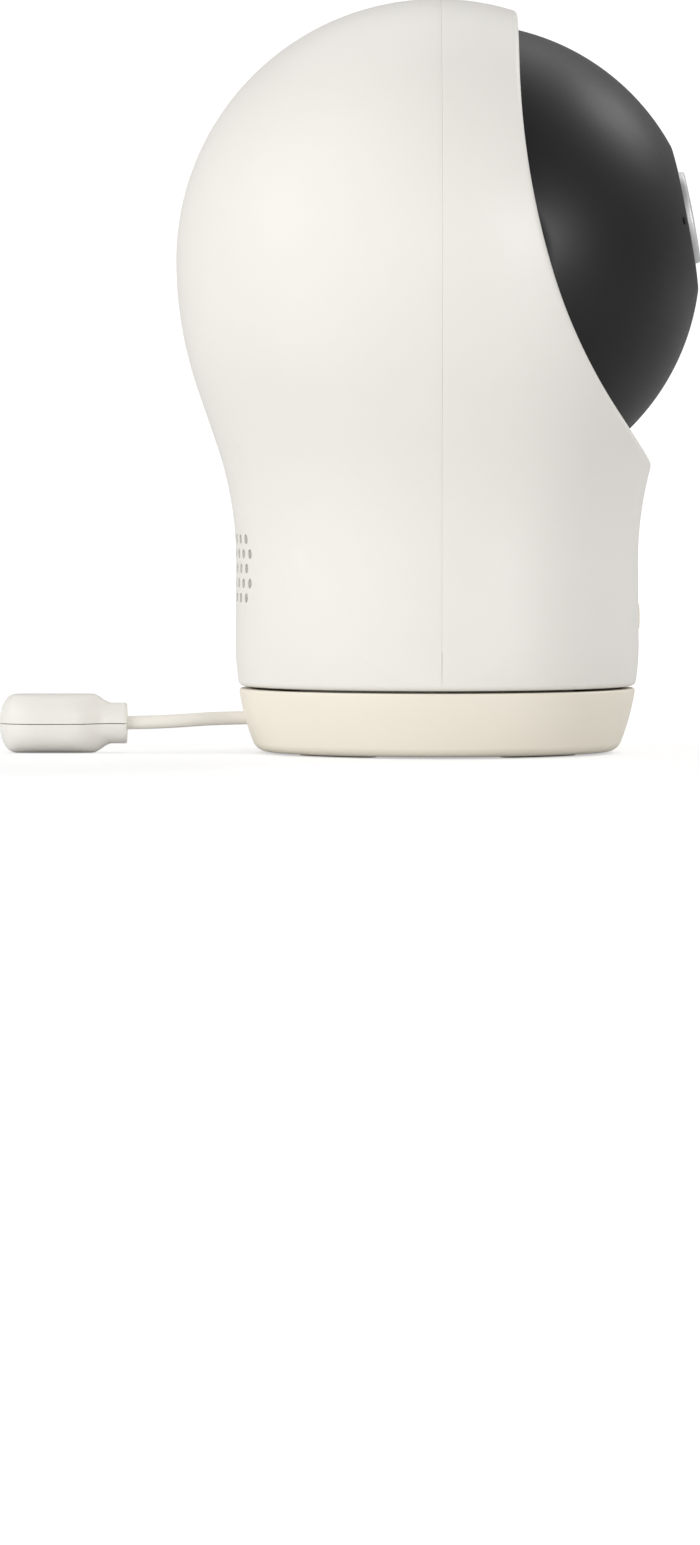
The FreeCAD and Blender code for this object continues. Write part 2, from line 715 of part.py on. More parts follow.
def drive_socket():
    return trunnion_socket(1, TRUNNION_RADIUS + 0.02)


def idle_socket():
    return trunnion_socket(-1, TRUNNION_RADIUS + 0.08)


def drive_trunnion():
    """Pin that stays still with the head and carries the fixed tilt gear inside the eye."""
    pin = rod(TRUNNION_RADIUS, Vector(0, 30.5, 0), Vector(0, 39.5, 0))
    spigot = rod(2.5, Vector(0, 27.0, 0), Vector(0, 30.5, 0))
    return in_eye(joined(pin, spigot))


def tilt_fixed_gear():
    return in_eye(along_tilt_axis(gear(TILT_TEETH, 27.5, 30.5, 2.5, 180), 0))


# ---- eye, in its own frame: lens along +X, centre at the origin ----

def in_eye(shape):
    """Turn a shape from the eye's own frame to its place in the head."""
    result = about(Y, shape, -LENS_UP)
    return moved(result, EYE_X, 0, HEAD_Z)


def along_tilt_axis(shape, x):
    """Turn a shape that stands along +Z so that it lies along +Y, at x in the eye's frame."""
    return moved(about(X, shape, -90), x, 0, 0)


def eye_solid(inset):
    """Solid inside the eye's outer surface, taken in by inset, without the lens face."""
    ball = Part.makeSphere(EYE_RADIUS - inset)
    half = EYE_HALF_WIDTH - inset
    return ball.common(block((-50, 50), (-half, half), (-50, 50)))


def face_dome(drop):
    """Large ball whose front is the eye's shallow face, lowered by drop."""
    return Part.makeSphere(FACE_DOME_RADIUS - drop, Vector(FACE_CROWN - FACE_DOME_RADIUS, 0, 0))


def eye_front():
    half = eye_solid(0).common(face_dome(0)).cut(eye_solid(EYE_WALL))
    inner_ring = lens_ring_between(14.0, 10.2, 33.4, 36.3)
    keep = eye_solid(1.0)
    board_posts = [rod(1.8, Vector(17.0, y, z), Vector(34, y, z)).common(keep) for y, z in SENSOR_BOARD_SEATS]
    bosses = [rod(2.6, Vector(0.05, y, z), Vector(24, y, z)).common(keep) for y, z in eye_boss_places()]
    half = joined(half, inner_ring.common(face_dome(1.0)), *board_posts, *bosses)
    half = half.common(block((0.03, 50), (-50, 50), (-50, 50)))
    mic_pocket = block((33.0, 34.6), (-14.6, -10.9), (-2, 2))
    mic_hole = rod(0.7, Vector(30, -12.6, 0), Vector(45, -12.6, 0))
    pilots = [rod(0.85, Vector(16, y, z), Vector(24, y, z)) for y, z in SENSOR_BOARD_SEATS]
    boss_pilots = [rod(1.05, Vector(-1, y, z), Vector(9, y, z)) for y, z in eye_boss_places()]
    tools = [
        rod(10.2, Vector(30, 0, 0), Vector(45, 0, 0)),
        rod(11.3, Vector(WINDOW_SEAT - 0.05, 0, 0), Vector(45, 0, 0)),
        mic_pocket, mic_hole, *trunnion_wall_holes(), *pilots, *boss_pilots,
    ]
    return in_eye(without(half, *tools))


def eye_rear():
    half = eye_solid(0).cut(eye_solid(EYE_WALL))
    keep = eye_solid(1.0)
    bosses = [rod(3.0, Vector(-24, y, z), Vector(-0.05, y, z)).common(keep) for y, z in eye_boss_places()]
    bracket_posts = [rod(2.2, Vector(-18, 26.25, side * 15), Vector(-18, 33, side * 15)).common(keep)
                     for side in (-1, 1)]
    half = joined(half, *bosses, *bracket_posts)
    half = half.common(block((-50, -0.03), (-50, 50), (-50, 50)))
    access = [rod(2.0, Vector(-40, y, z), Vector(-3, y, z)) for y, z in eye_boss_places()]
    holes = [rod(1.15, Vector(-4, y, z), Vector(1, y, z)) for y, z in eye_boss_places()]
    pilots = [rod(0.85, Vector(-18, 25, side * 15), Vector(-18, 28.8, side * 15)) for side in (-1, 1)]
    return in_eye(without(half, *access, *holes, *pilots, *trunnion_wall_holes()))


def eye_boss_places():
    reach = EYE_BOSS_OFFSET
    return [(reach, reach), (reach, -reach), (-reach, reach), (-reach, -reach)]


def trunnion_wall_holes():
    drive = rod(5.25, Vector(0, 33, 0), Vector(0, 40, 0))
    idle = rod(TRUNNION_RADIUS + 0.05, Vector(0, -40, 0), Vector(0, -33, 0))
    return [drive, idle]


def eye_screws():
    return in_eye(group([screw(Vector(-3, y, z), X, 1.8, 1.0, 9.0) for y, z in eye_boss_places()]))


def lens_ring():
    outer, seat, lip = LENS_RING_RADIUS, 6.15, 5.7
    front = LENS_RING_FRONT
    return in_eye(turned(
        X, (34.6, seat), (34.6, outer), (front - 0.5, outer),
        ((front - 0.15, outer - 0.15), (front, outer - 0.5)), (front, 6.4), (37.65, lip), (37.62, seat),
    ))


def ir_window():
    window = lens_ring_between(11.25, LENS_RING_RADIUS + 0.03, WINDOW_SEAT, 40)
    return in_eye(window.common(face_dome(0)))


def lens_window():
    return in_eye(rod(6.1, Vector(36.9, 0, 0), Vector(37.6, 0, 0)))


def lens_barrel():
    """Threaded lens tube with stepped baffles round its front element."""
    return in_eye(turned(
        X, (21.0, 0), (21.0, 5.6), (36.4, 5.6), (36.4, 4.9), (35.6, 4.7), (35.6, 4.2), (34.9, 4.0),
        (34.9, 3.4), (33.0, 3.4), (33.0, 0),
    ))


def lens_element():
    return in_eye(turned(X, (33.0, 0), (33.0, 3.35), (33.6, 3.35), cap(33.6, 3.35, 35.0)))


def lens_holder():
    foot = block((17.0, 20.5), (-8, 8), (-8, 8))
    tube = rod(7.2, Vector(19, 0, 0), Vector(29, 0, 0))
    hollow = block((16, 18.8), (-6.5, 6.5), (-6.5, 6.5))
    return in_eye(without(joined(foot, tube), hollow, rod(5.65, Vector(18, 0, 0), Vector(30, 0, 0))))


def image_sensor():
    return in_eye(block((17.0, 18.2), (-4.5, 4.5), (-4.5, 4.5)))


def sensor_board():
    back = SENSOR_BOARD_BACK
    board = block((back, back + 1.2), (-15, 15), (-15, 15))
    corners = [edge for edge in board.Edges if edge.BoundBox.XLength > 1]
    board = board.makeFillet(2.0, corners)
    chip = block((back - 1.2, back + 0.1), (-2, 8), (-9, 1))
    plug = block((back - 2.4, back + 0.1), (-13.0, -7.0), (3, 10))
    holes = [rod(1.05, Vector(back - 3, y, z), Vector(back + 3, y, z)) for y, z in SENSOR_BOARD_SEATS]
    return in_eye(without(joined(board, chip, plug), *holes))


def sensor_board_screws():
    seats = [Vector(SENSOR_BOARD_BACK, y, z) for y, z in SENSOR_BOARD_SEATS]
    return in_eye(group([screw(seat, X, 1.6, 0.8, 6.0) for seat in seats]))


def ir_board():
    board = lens_ring_between(14.2, 7.8, 32.2, 33.38)
    light_sensor = block((33.3, 34.4), (8.0, 9.8), (-0.7, 0.7))
    return in_eye(joined(board, light_sensor))


def ir_leds():
    lamps = []
    for turn in range(8):
        lamp = turned(X, (33.38, 0), (33.38, 1.12), (34.4, 1.12), cap(34.4, 1.12, 35.2))
        lamps.append(about(X, moved(lamp, 0, 0, 8.95), 22.5 + 45 * turn))
    return in_eye(group(lamps))


def microphone():
    can = rod(1.6, Vector(33.38, -12.6, 0), Vector(34.5, -12.6, 0))
    return in_eye(can)


def tilt_motor():
    """Same motor as the pan's, with its output at the tilt pinion and its can towards the lens."""
    motor = about(Z, moved(geared_motor(), 0, 0, -0.8), 180)
    motor = about(X, motor, 90)
    return in_eye(moved(motor, TILT_PINION_X, 24.2, 0))


def tilt_motor_bracket():
    plate = block((-21, 3), (25.0, 26.2), (-18, 18))
    plate = plate.common(Part.makeSphere(EYE_RADIUS - EYE_WALL - 0.3))
    can_x = TILT_PINION_X + MOTOR_OFFSET
    places = [(x, side * reach) for x, reach in ((can_x, EAR_REACH), (-18, 15)) for side in (-1, 1)]
    holes = [rod(0.95, Vector(x, 20, z), Vector(x, 30, z)) for x, z in places]
    holes.append(rod(3.6, Vector(TILT_PINION_X, 20, 0), Vector(TILT_PINION_X, 30, 0)))
    return in_eye(without(plate, *holes))


def tilt_motor_screws():
    can_x = TILT_PINION_X + MOTOR_OFFSET
    pieces = []
    for side in (-1, 1):
        pieces.append(screw(Vector(can_x, 26.2, side * EAR_REACH), -Y, 1.5, 0.8, 3.6))
        pieces.append(screw(Vector(-18, 25.0, side * 15), Y, 1.5, 0.8, 3.5))
    return in_eye(group(pieces))


def tilt_pinion():
    wheel = gear(PINION_TEETH, 27.5, 30.5, SHAFT_RADIUS, 180 / PINION_TEETH)
    return in_eye(along_tilt_axis(wheel, TILT_PINION_X))


def tilt_shaft():
    return in_eye(rod(SHAFT_RADIUS, Vector(TILT_PINION_X, 23.0, 0), Vector(TILT_PINION_X, 30.4, 0)))


def tilt_bush():
    sleeve = rod(5.2, Vector(0, 33.3, 0), Vector(0, 36.4, 0))
    flange = rod(6.5, Vector(0, 33.3, 0), Vector(0, 34.38, 0))
    bore = rod(TRUNNION_RADIUS + 0.06, Vector(0, 30, 0), Vector(0, 40, 0))
    return in_eye(joined(sleeve, flange).cut(bore))


def idle_trunnion():
    sleeve = rod(TRUNNION_RADIUS, Vector(0, -39.6, 0), Vector(0, -33.2, 0))
    flange = rod(6.5, Vector(0, -34.38, 0), Vector(0, -33.2, 0))
    return in_eye(joined(sleeve, flange).cut(rod(2.5, Vector(0, -41, 0), Vector(0, -30, 0))))


def eye_harness():
    route = ((SENSOR_BOARD_BACK - 2.7, -10.0, 5.0), (3.0, -10.0, 4.0), (0, -18.0, 0.8), (0, -39.2, 0))
    wire = wire_along("eye harness", route, 1.0)
    return in_eye(wire)


NODES = (
    base_shell, base_cover, foot_pads, base_screws, ballast_plate, power_board, usb_socket, lead_grommet,
    sensor_pod_upper, sensor_pod_lower, thermistor_board, glide_ring, pan_ring_gear, gear_screws,
    lower_harness, upper_harness, rear_housing, front_housing, swivel_plate, plate_screws, pan_motor,
    pan_motor_screws, pan_pinion, pan_shaft, speaker, speaker_gasket, main_board, antenna, button_board,
    button_switch, front_button, drive_socket, idle_socket, drive_trunnion, tilt_fixed_gear, eye_front,
    eye_rear, eye_screws, lens_ring, ir_window, lens_window, lens_barrel, lens_element, lens_holder,
    image_sensor, sensor_board, sensor_board_screws, ir_board, ir_leds, microphone, tilt_motor,
    tilt_motor_bracket, tilt_motor_screws, tilt_pinion, tilt_shaft, tilt_bush, idle_trunnion, eye_harness,
)


def write_parts():
    os.makedirs("parts", exist_ok=True)
    sensor_lead_solid().exportStep("parts/sensor_lead.step")
    for node in NODES:
        node().exportStep("parts/%s.step" % node.__name__)


write_parts()
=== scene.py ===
import math

import bmesh
import bpy
import numpy as np
from mathutils import Matrix, Vector


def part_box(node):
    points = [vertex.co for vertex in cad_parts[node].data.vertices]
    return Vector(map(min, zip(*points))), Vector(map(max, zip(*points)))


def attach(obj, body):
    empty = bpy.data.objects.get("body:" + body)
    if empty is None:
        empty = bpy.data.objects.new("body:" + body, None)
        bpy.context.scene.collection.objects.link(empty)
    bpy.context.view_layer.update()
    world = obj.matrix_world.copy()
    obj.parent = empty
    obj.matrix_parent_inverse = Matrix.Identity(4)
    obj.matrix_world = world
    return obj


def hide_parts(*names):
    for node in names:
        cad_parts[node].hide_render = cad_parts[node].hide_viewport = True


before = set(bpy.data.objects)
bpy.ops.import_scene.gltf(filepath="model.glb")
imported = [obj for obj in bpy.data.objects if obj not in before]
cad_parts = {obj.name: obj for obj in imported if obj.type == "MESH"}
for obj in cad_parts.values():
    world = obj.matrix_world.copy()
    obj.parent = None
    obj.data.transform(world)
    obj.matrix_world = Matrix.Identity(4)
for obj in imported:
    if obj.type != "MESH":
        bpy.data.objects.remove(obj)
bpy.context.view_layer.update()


# ---- Camera ----
# A long lens stands a little above the table and looks along +Y, so that the object faces right.
# Its picture is 254 mm tall at the pan axis, and the object fills the upper half of it.

stand_off, sensor_width = 1.6, 36.0
lens_stand = Vector((-0.0143, -stand_off, 0.061))
lens_aim = Vector((-0.0143, 0.0, -0.0033))
picture_height = 0.2537


def new_object(name, data):
    """Object that holds this data, placed in the scene."""
    made = bpy.data.objects.new(name, data)
    bpy.context.scene.collection.objects.link(made)
    return made


camera_data = bpy.data.cameras.new("camera")
camera_data.sensor_width = sensor_width
camera_data.lens = sensor_width * stand_off / picture_height
camera_data.clip_end = 60.0
camera = new_object("camera", camera_data)
camera.location = lens_stand
camera.rotation_euler = (lens_aim - lens_stand).to_track_quat("-Z", "Y").to_euler()
bpy.context.scene.camera = camera


# ---- Sensor lead ----
# The short lead to the temperature sensor, a two-core cable in an extruded elastomer sheath.
# It leaves the base through a grommet, bends down by a millimetre and ends in the pod's neck.

lead_route = ((-26.5, 0, 5.75), (-35.5, 0, 5.75), (-46.5, 0, 4.85), (-57.4, 0, 4.85))
lead_radius = 1.1


def add_node(tree, kind, settings=None, inputs=None):
    """Adds one node. Each input is a value, or a socket or a node's first output to link from."""
    node = tree.nodes.new(kind)
    for name, value in (settings or {}).items():
        setattr(node, name, value)
    for key, value in (inputs or {}).items():
        if isinstance(value, bpy.types.Node):
            value = value.outputs[0]
        if isinstance(value, bpy.types.NodeSocket):
            tree.links.new(value, node.inputs[key])
        else:
            node.inputs[key].default_value = value
    return node


def linear(hex_colour):
    """Turns an sRGB hex colour to the linear colour that a shader takes."""
    parts = [int(hex_colour[at:at + 2], 16) / 255 for at in (0, 2, 4)]
    return (*[c / 12.92 if c <= 0.04045 else ((c + 0.055) / 1.055) ** 2.4 for c in parts], 1.0)


def per_metre(millimetres):
    """Noise scale, on coordinates in metres, that gives features of this size."""
    return 1000.0 / millimetres


def new_surface(name):
    """Empty material of this name, with its tree and its object coordinates."""
    material = bpy.data.materials.new(name)
    material.use_nodes = True
    tree = material.node_tree
    tree.nodes.clear()
    place = add_node(tree, "ShaderNodeTexCoord").outputs["Object"]
    return material, tree, place


def end_surface(tree, marks, light, dark, sockets):
    """Ends a material: its colour drifts between two along its marks, and the shader's sockets are set."""
    colour = add_node(tree, "ShaderNodeMix", {"data_type": "RGBA"},
                      {0: marks, 6: linear(light), 7: linear(dark)})
    shader = add_node(tree, "ShaderNodeBsdfPrincipled", None, {"Base Color": colour.outputs[2], **sockets})
    add_node(tree, "ShaderNodeOutputMaterial", None, {"Surface": shader})


def moulded_surface(name, light, dark, roughness, ior, grain, depth, flow=14.0):
    """Moulded plastic or rubber, with slight flow clouds in its colour and the dull grain of its mould."""
    material, tree, place = new_surface(name)
    clouds = add_node(tree, "ShaderNodeTexNoise", None,
                      {"Vector": place, "Scale": per_metre(flow), "Detail": 3.0, "Roughness": 0.5})
    dullness = add_node(tree, "ShaderNodeMapRange", None,
                        {0: clouds, 3: roughness - 0.03, 4: roughness + 0.03})
    pits = add_node(tree, "ShaderNodeTexNoise", None,
                    {"Vector": place, "Scale": per_metre(grain), "Detail": 2.0, "Roughness": 0.6})
    relief = add_node(tree, "ShaderNodeBump", None,
                      {"Strength": 1.0, "Distance": depth * 0.001, "Height": pits})
    end_surface(tree, clouds, light, dark, {"Roughness": dullness, "IOR": ior, "Normal": relief})
    return material


# Extruded elastomer is a little duller and warmer than the housing, with a faint skin of 0.3 mm.
lead_elastomer = moulded_surface("extruded_elastomer", "f1ede5", "ebe6dc", 0.55, 1.48, 0.3, 0.004)

lead_curve = bpy.data.curves.new("sensor_lead_sheath", "CURVE")
lead_curve.dimensions = "3D"
lead_line = lead_curve.splines.new("NURBS")
lead_line.points.add(len(lead_route) - 1)
for point, (x, y, z) in zip(lead_line.points, lead_route):
    point.co = (x * 0.001, y * 0.001, z * 0.001, 1.0)
lead_line.order_u = 3
lead_line.use_endpoint_u = True
lead_line.resolution_u = 16
lead_curve.bevel_depth = lead_radius * 0.001
lead_curve.bevel_resolution = 10
lead_curve.use_fill_caps = True
lead_curve.materials.append(lead_elastomer)
sensor_lead = new_object("sensor_lead_sheath", lead_curve)
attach(sensor_lead, "base")
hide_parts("sensor_lead")


# ---- Lead grommet ----
# A moulded elastomer sleeve in the base's wall, pressed over the lead. Its flange inside the wall keeps
# the lead from being pulled out.


def dress(node, material):
    """Gives a CAD piece its finish."""
    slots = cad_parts[node].data.materials
    for index in range(len(slots)):
        slots[index] = material
    if not len(slots):
        slots.append(material)


dress("lead_grommet", lead_elastomer)


# ---- Sensor pod ----
# The temperature sensor's shell, two moulded ABS halves that snap together at mid height.
# It is a rounded pebble with a round neck, and a bead on a small board reads the air inside it.

pod_centre_z, pod_half_width = 4.85, 7.0
pod_nose_x, pod_body_x, pod_mouth_x = -71.8, -65.2, -50.9
# The nose is a superellipse over these lengths, in height and in width.
nose_rise, nose_rise_power = 2.9, 2.3
nose_spread, nose_spread_power = 6.2, 2.2
# The neck begins at these two places, and is reached after these lengths, in height and in width.
neck_drop_x, neck_drop = -56.6, 3.2
neck_narrow_x, neck_narrow = -60.0, 6.4
pod_neck_radius, mouth_rounding = 3.35, 0.35
pod_bore_radius, pod_bore_end_x = 1.14, -57.0
pod_split, squareness, pod_steps = 0.06, 0.7, 32
crisp_angle = math.radians(32)

# ABS with the fine satin of a spark-eroded mould. The real grain is 0.05 mm, and it is drawn at 0.35 mm
# so that it shows.
white_abs = moulded_surface("moulded_white_abs", "eeebe5", "e9e6e0", 0.46, 1.53, 0.35, 0.003, 22.0)


def finished(name, mesh):
    """Piece from a mesh, with doubles merged, faces outward, and smooth but for its crisp edges."""
    shape = bmesh.new()
    shape.from_mesh(mesh)
    bmesh.ops.remove_doubles(shape, verts=shape.verts, dist=2e-6)
    bmesh.ops.recalc_face_normals(shape, faces=shape.faces)
    shape.to_mesh(mesh)
    shape.free()
    mesh.shade_smooth()
    mesh.set_sharp_from_angle(angle=crisp_angle)
    mesh.name = name
    return new_object(name, mesh)


def make_piece(name, points, faces, material):
    """Piece from points in millimetres."""
    mesh = bpy.data.meshes.new(name)
    mesh.from_pydata((np.asarray(points, float) * 0.001).tolist(), [], faces)
    mesh.materials.append(material)
    return finished(name, mesh)


def woven(rows, columns, close_rows=False, close_columns=False):
    """Faces of a net of points that are listed row after row."""
    last_row = rows if close_rows else rows - 1
    last_column = columns if close_columns else columns - 1
    return [
        (r * columns + c, r * columns + (c + 1) % columns,
         (r + 1) % rows * columns + (c + 1) % columns, (r + 1) % rows * columns + c)
        for r in range(last_row) for c in range(last_column)
    ]


def settle(piece, body, slot, *nodes):
    """The finished piece moves with its body and stands for its CAD pieces."""
    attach(piece, body)
    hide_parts(*nodes)


def ease(t):
    """Smooth step from 0 to 1."""
    t = min(max(t, 0.0), 1.0)
    return t * t * (3 - 2 * t)


def pod_section(x):
    """Half height and half width of the pod at x."""
    rise = min((x - pod_nose_x) / nose_rise, 1.0)
    height = pod_centre_z * (1 - (1 - rise) ** nose_rise_power) ** (1 / nose_rise_power)
    spread = min((x - pod_nose_x) / nose_spread, 1.0)
    width = pod_half_width * (1 - (1 - spread) ** nose_spread_power) ** (1 / nose_spread_power)
    height += (pod_neck_radius - height) * ease((x - neck_drop_x) / neck_drop)
    width += (pod_neck_radius - width) * ease((x - neck_narrow_x) / neck_narrow)
    return height, width


def pod_half(side):
    """Upper (1) or lower (-1) half, closed by its flat split face and bored for the lead."""
    nose = [pod_nose_x + nose_spread * (1 - math.cos(math.radians(turn))) for turn in range(0, 91, 5)]
    stations = [(x, *pod_section(x)) for x in [*nose, *np.arange(pod_body_x, pod_mouth_x - 0.2, 0.4)]]
    for turn in range(0, 91, 15):
        angle = math.radians(turn)
        radius = pod_neck_radius - mouth_rounding * (1 - math.cos(angle))
        stations.append((pod_mouth_x - mouth_rounding * (1 - math.sin(angle)), radius, radius))
    bore = ((pod_mouth_x, pod_bore_radius), (pod_bore_end_x, pod_bore_radius), (pod_bore_end_x, 0.0))
    stations += [(x, radius, radius) for x, radius in bore]
    points = []
    for x, height, width in stations:
        # A section is round in the neck and squarer in the body.
        power = 2 + squareness * ease((width - 3.4) / 2.5)
        for step in range(pod_steps + 1):
            turn = math.pi * step / pod_steps
            across = math.copysign(abs(math.cos(turn)) ** (2 / power), math.cos(turn))
            up = max(math.sin(turn), 0.0) ** (2 / power) * height
            points.append((x, across * width, pod_centre_z + side * max(up, pod_split)))
    faces = woven(len(stations), pod_steps + 1)
    near = [row * (pod_steps + 1) for row in range(len(stations))]
    far = [row * (pod_steps + 1) + pod_steps for row in range(len(stations))]
    return points, [*faces, (*near, *reversed(far))]


pod_upper = make_piece("sensor_pod_top", *pod_half(1), white_abs)
pod_lower = make_piece("sensor_pod_bottom", *pod_half(-1), white_abs)
settle(pod_upper, "base", "housing_white", "sensor_pod_upper")
settle(pod_lower, "base", "housing_white", "sensor_pod_lower")

# Glass epoxy board under green solder mask, smooth and rather glossy. The glass weave shows as faint
# blocks of 0.5 mm.
board_mask, tree, place = new_surface("solder_mask")
weave = add_node(tree, "ShaderNodeTexChecker", None,
                 {"Vector": place, "Color1": linear("1f5a36"), "Color2": linear("23633c"),
                  "Scale": per_metre(0.5)})
shader = add_node(tree, "ShaderNodeBsdfPrincipled", None,
                  {"Base Color": weave, "Roughness": 0.3, "IOR": 1.55})
add_node(tree, "ShaderNodeOutputMaterial", None, {"Surface": shader})
dress("thermistor_board", board_mask)


# ---- Base shell ----
# The low round foot of the object, moulded in cream ABS, slightly bowed and with a small rounded lip.
# The head turns on its deck, and its wall has the lead's hole and the power inlet, both behind.

base_side = (
    (28.0, 0.3), ((29.55, 0.9), (30.25, 2.0)), ((31.75, 6.6), (32.5, 10.25)), ((32.4, 10.55), (32.1, 10.65)),
    (30.6, 10.65), (30.6, 9.2), (22.5, 9.2), (22.5, 8.8), (20.0, 8.8), (20.0, 9.2), (9.0, 9.2), (9.0, 14.0),
    (6.0, 14.0), (6.0, 7.6), (29.7, 7.6), (26.4, 2.3), (27.1, 2.3), (27.1, 0.3),
)
lead_hole_z, lead_hole_radius = 5.75, 1.75
inlet_turn, inlet_z = math.radians(150), 5.63
inlet_half_width, inlet_half_height = 4.8, 1.95
rail_radius = 50.0

# The same satin as the housing, in a warmer and slightly darker cream.
cream_abs = moulded_surface("moulded_cream_abs", "f2ecdd", "ede6d7", 0.46, 1.53, 0.35, 0.003, 22.0)


def drawn(*steps, pieces=10):
    """Points of an outline. A step is a point, or (through, end) for an arc from the step before it."""
    points = [Vector(steps[0])]
    for step in steps[1:]:
        if not isinstance(step[0], tuple):
            points.append(Vector(step))
            continue
        a, b, c = points[-1], Vector(step[0]), Vector(step[1])
        twice = 2 * (b - a).cross(c - a)
        ab, ac = (b - a).length_squared, (c - a).length_squared
        centre = a + Vector((ab * (c - a).y - ac * (b - a).y, ac * (b - a).x - ab * (c - a).x)) / twice
        spoke = a - centre
        sweep = math.atan2(spoke.cross(c - centre), spoke.dot(c - centre))
        points += [centre + Matrix.Rotation(sweep * at / pieces, 2) @ spoke for at in range(1, pieces + 1)]
    return [(point.x, point.y) for point in points]


def new_tree(name, start, sizes):
    """Geometry nodes tree with an input for the mesh it starts from, for each size and for the finish."""
    tree = bpy.data.node_groups.new(name, "GeometryNodeTree")
    face = tree.interface
    face.new_socket(name=start, in_out="INPUT", socket_type="NodeSocketGeometry")
    for size, kind in sizes.items():
        face.new_socket(name=size, in_out="INPUT", socket_type="NodeSocket" + kind)
    face.new_socket(name="Finish", in_out="INPUT", socket_type="NodeSocketMaterial")
    face.new_socket(name="Piece", in_out="OUTPUT", socket_type="NodeSocketGeometry")
    return tree, add_node(tree, "NodeGroupInput").outputs


def end_tree(tree, shape, finish):
    """Ends a tree: its instances become a real mesh, which takes its finish."""
    whole = add_node(tree, "GeometryNodeRealizeInstances", None, {"Geometry": shape})
    coloured = add_node(tree, "GeometryNodeSetMaterial", None, {"Geometry": whole, "Material": finish})
    add_node(tree, "NodeGroupOutput", None, {0: coloured})
    return tree


def turning_tree():
    """Geometry nodes that turn an outline about Z."""
    tree, given = new_tree("turned_wall", "Outline", {"Steps round": "Int"})
    rail = add_node(tree, "GeometryNodeCurvePrimitiveCircle", None,
                    {"Resolution": given["Steps round"], "Radius": rail_radius * 0.001})
    # The outline is drawn in XZ, and a swept profile lies in XY, so the outline is laid down first.
    laid = add_node(tree, "GeometryNodeTransform", None,
                    {"Geometry": given["Outline"], "Rotation": (math.radians(90), 0.0, 0.0)})
    line = add_node(tree, "GeometryNodeMeshToCurve", None, {"Mesh": laid})
    wall = add_node(tree, "GeometryNodeCurveToMesh", None, {"Curve": rail, "Profile Curve": line})
    return end_tree(tree, wall, given["Finish"])


def applied(piece, modifier):
    """Mesh of an object with its modifier worked in. The modifier then goes."""
    bpy.context.view_layer.update()
    evaluated = piece.evaluated_get(bpy.context.evaluated_depsgraph_get())
    mesh = bpy.data.meshes.new_from_object(evaluated)
    piece.modifiers.remove(modifier)
    return mesh


def grown(name, start, tree, **given):
    """Runs a geometry nodes tree on an object, and gives the result back as a plain, clean mesh piece."""
    modifier = start.modifiers.new(tree.name, "NODES")
    modifier.node_group = tree
    for socket in tree.interface.items_tree:
        key = socket.name.lower().replace(" ", "_")
        if socket.in_out == "INPUT" and key in given:
            modifier[socket.identifier] = given[key]
    mesh = applied(start, modifier)
    bpy.data.objects.remove(start)
    return finished(name, mesh)


def outline_object(name, points, closed=True):
    """Loop or chain of edges in the XZ plane, measured from the rail, for the turning tree."""
    mesh = bpy.data.meshes.new(name)
    count = len(points)
    mesh.from_pydata([((r - rail_radius) * 0.001, 0.0, z * 0.001) for r, z in points],
                     [(at, (at + 1) % count) for at in range(count if closed else count - 1)], [])
    return new_object(name, mesh)


def bored(piece, *holes):
    """Cuts round holes, each (start, end, radius) in millimetres."""
    tools = bmesh.new()
    for start, end, radius in holes:
        start, end = Vector(start) * 0.001, Vector(end) * 0.001
        turn = (end - start).to_track_quat("Z", "Y").to_matrix().to_4x4()
        radius *= 0.001
        bmesh.ops.create_cone(tools, cap_ends=True, segments=40, radius1=radius, radius2=radius,
                              depth=(end - start).length, matrix=Matrix.Translation((start + end) / 2) @ turn)
    mesh = bpy.data.meshes.new("drill")
    tools.to_mesh(mesh)
    tools.free()
    return carved(piece, mesh)


def carved(piece, tool_mesh):
    """Takes the tool's shape out of a piece."""
    tool = new_object("tool", tool_mesh)
    cut = piece.modifiers.new("cut", "BOOLEAN")
    cut.operation = "DIFFERENCE"
    cut.solver = "EXACT"
    cut.object = tool
    piece.data = applied(piece, cut)
    bpy.data.objects.remove(tool)
    piece.data.shade_smooth()
    piece.data.set_sharp_from_angle(angle=crisp_angle)
    return piece


def round_ended_bar(half_width, half_height, inner, outer):
    """Bar with round ends that points out of the base at the power inlet."""
    shape = bmesh.new()
    ring = []
    for turn in range(-90, 270, 12):
        angle = math.radians(turn)
        end = half_width - half_height if turn <= 90 else half_height - half_width
        ring.append((end + half_height * math.cos(angle), half_height * math.sin(angle)))
    inside, outside = [
        [shape.verts.new((reach * 0.001, y * 0.001, z * 0.001)) for y, z in ring] for reach in (inner, outer)]
    for at in range(len(ring)):
        after = (at + 1) % len(ring)
        shape.faces.new((inside[at], inside[after], outside[after], outside[at]))
    shape.faces.new(inside)
    shape.faces.new(outside)
    bmesh.ops.recalc_face_normals(shape, faces=shape.faces)
    shape.transform(to_inlet)
    mesh = bpy.data.meshes.new("bar")
    shape.to_mesh(mesh)
    shape.free()
    return mesh


to_inlet = Matrix.Translation((0, 0, inlet_z * 0.001)) @ Matrix.Rotation(inlet_turn, 4, "Z")
turned_wall = turning_tree()
base = grown("base_moulding", outline_object("base_outline", drawn(*base_side)), turned_wall,
             steps_round=256, finish=cream_abs)
base = bored(base, ((-36, 0, lead_hole_z), (-26, 0, lead_hole_z), lead_hole_radius))
base = carved(base, round_ended_bar(inlet_half_width, inlet_half_height, 22.0, 36.0))
settle(base, "base", "base_cream", "base_shell")


# ---- Base cover, feet and screws ----
# A flat ABS disc closes the base from below. Three zinc plated screws hold it, four arc-shaped pads of
# moulded silicone rubber keep it from sliding, and a tripod screw fits the threaded boss in its middle.

tripod_radius, tripod_pitch, thread_turns = 2.6, 1.27, 3.0
thread_ridge, thread_low = 0.32, 0.9

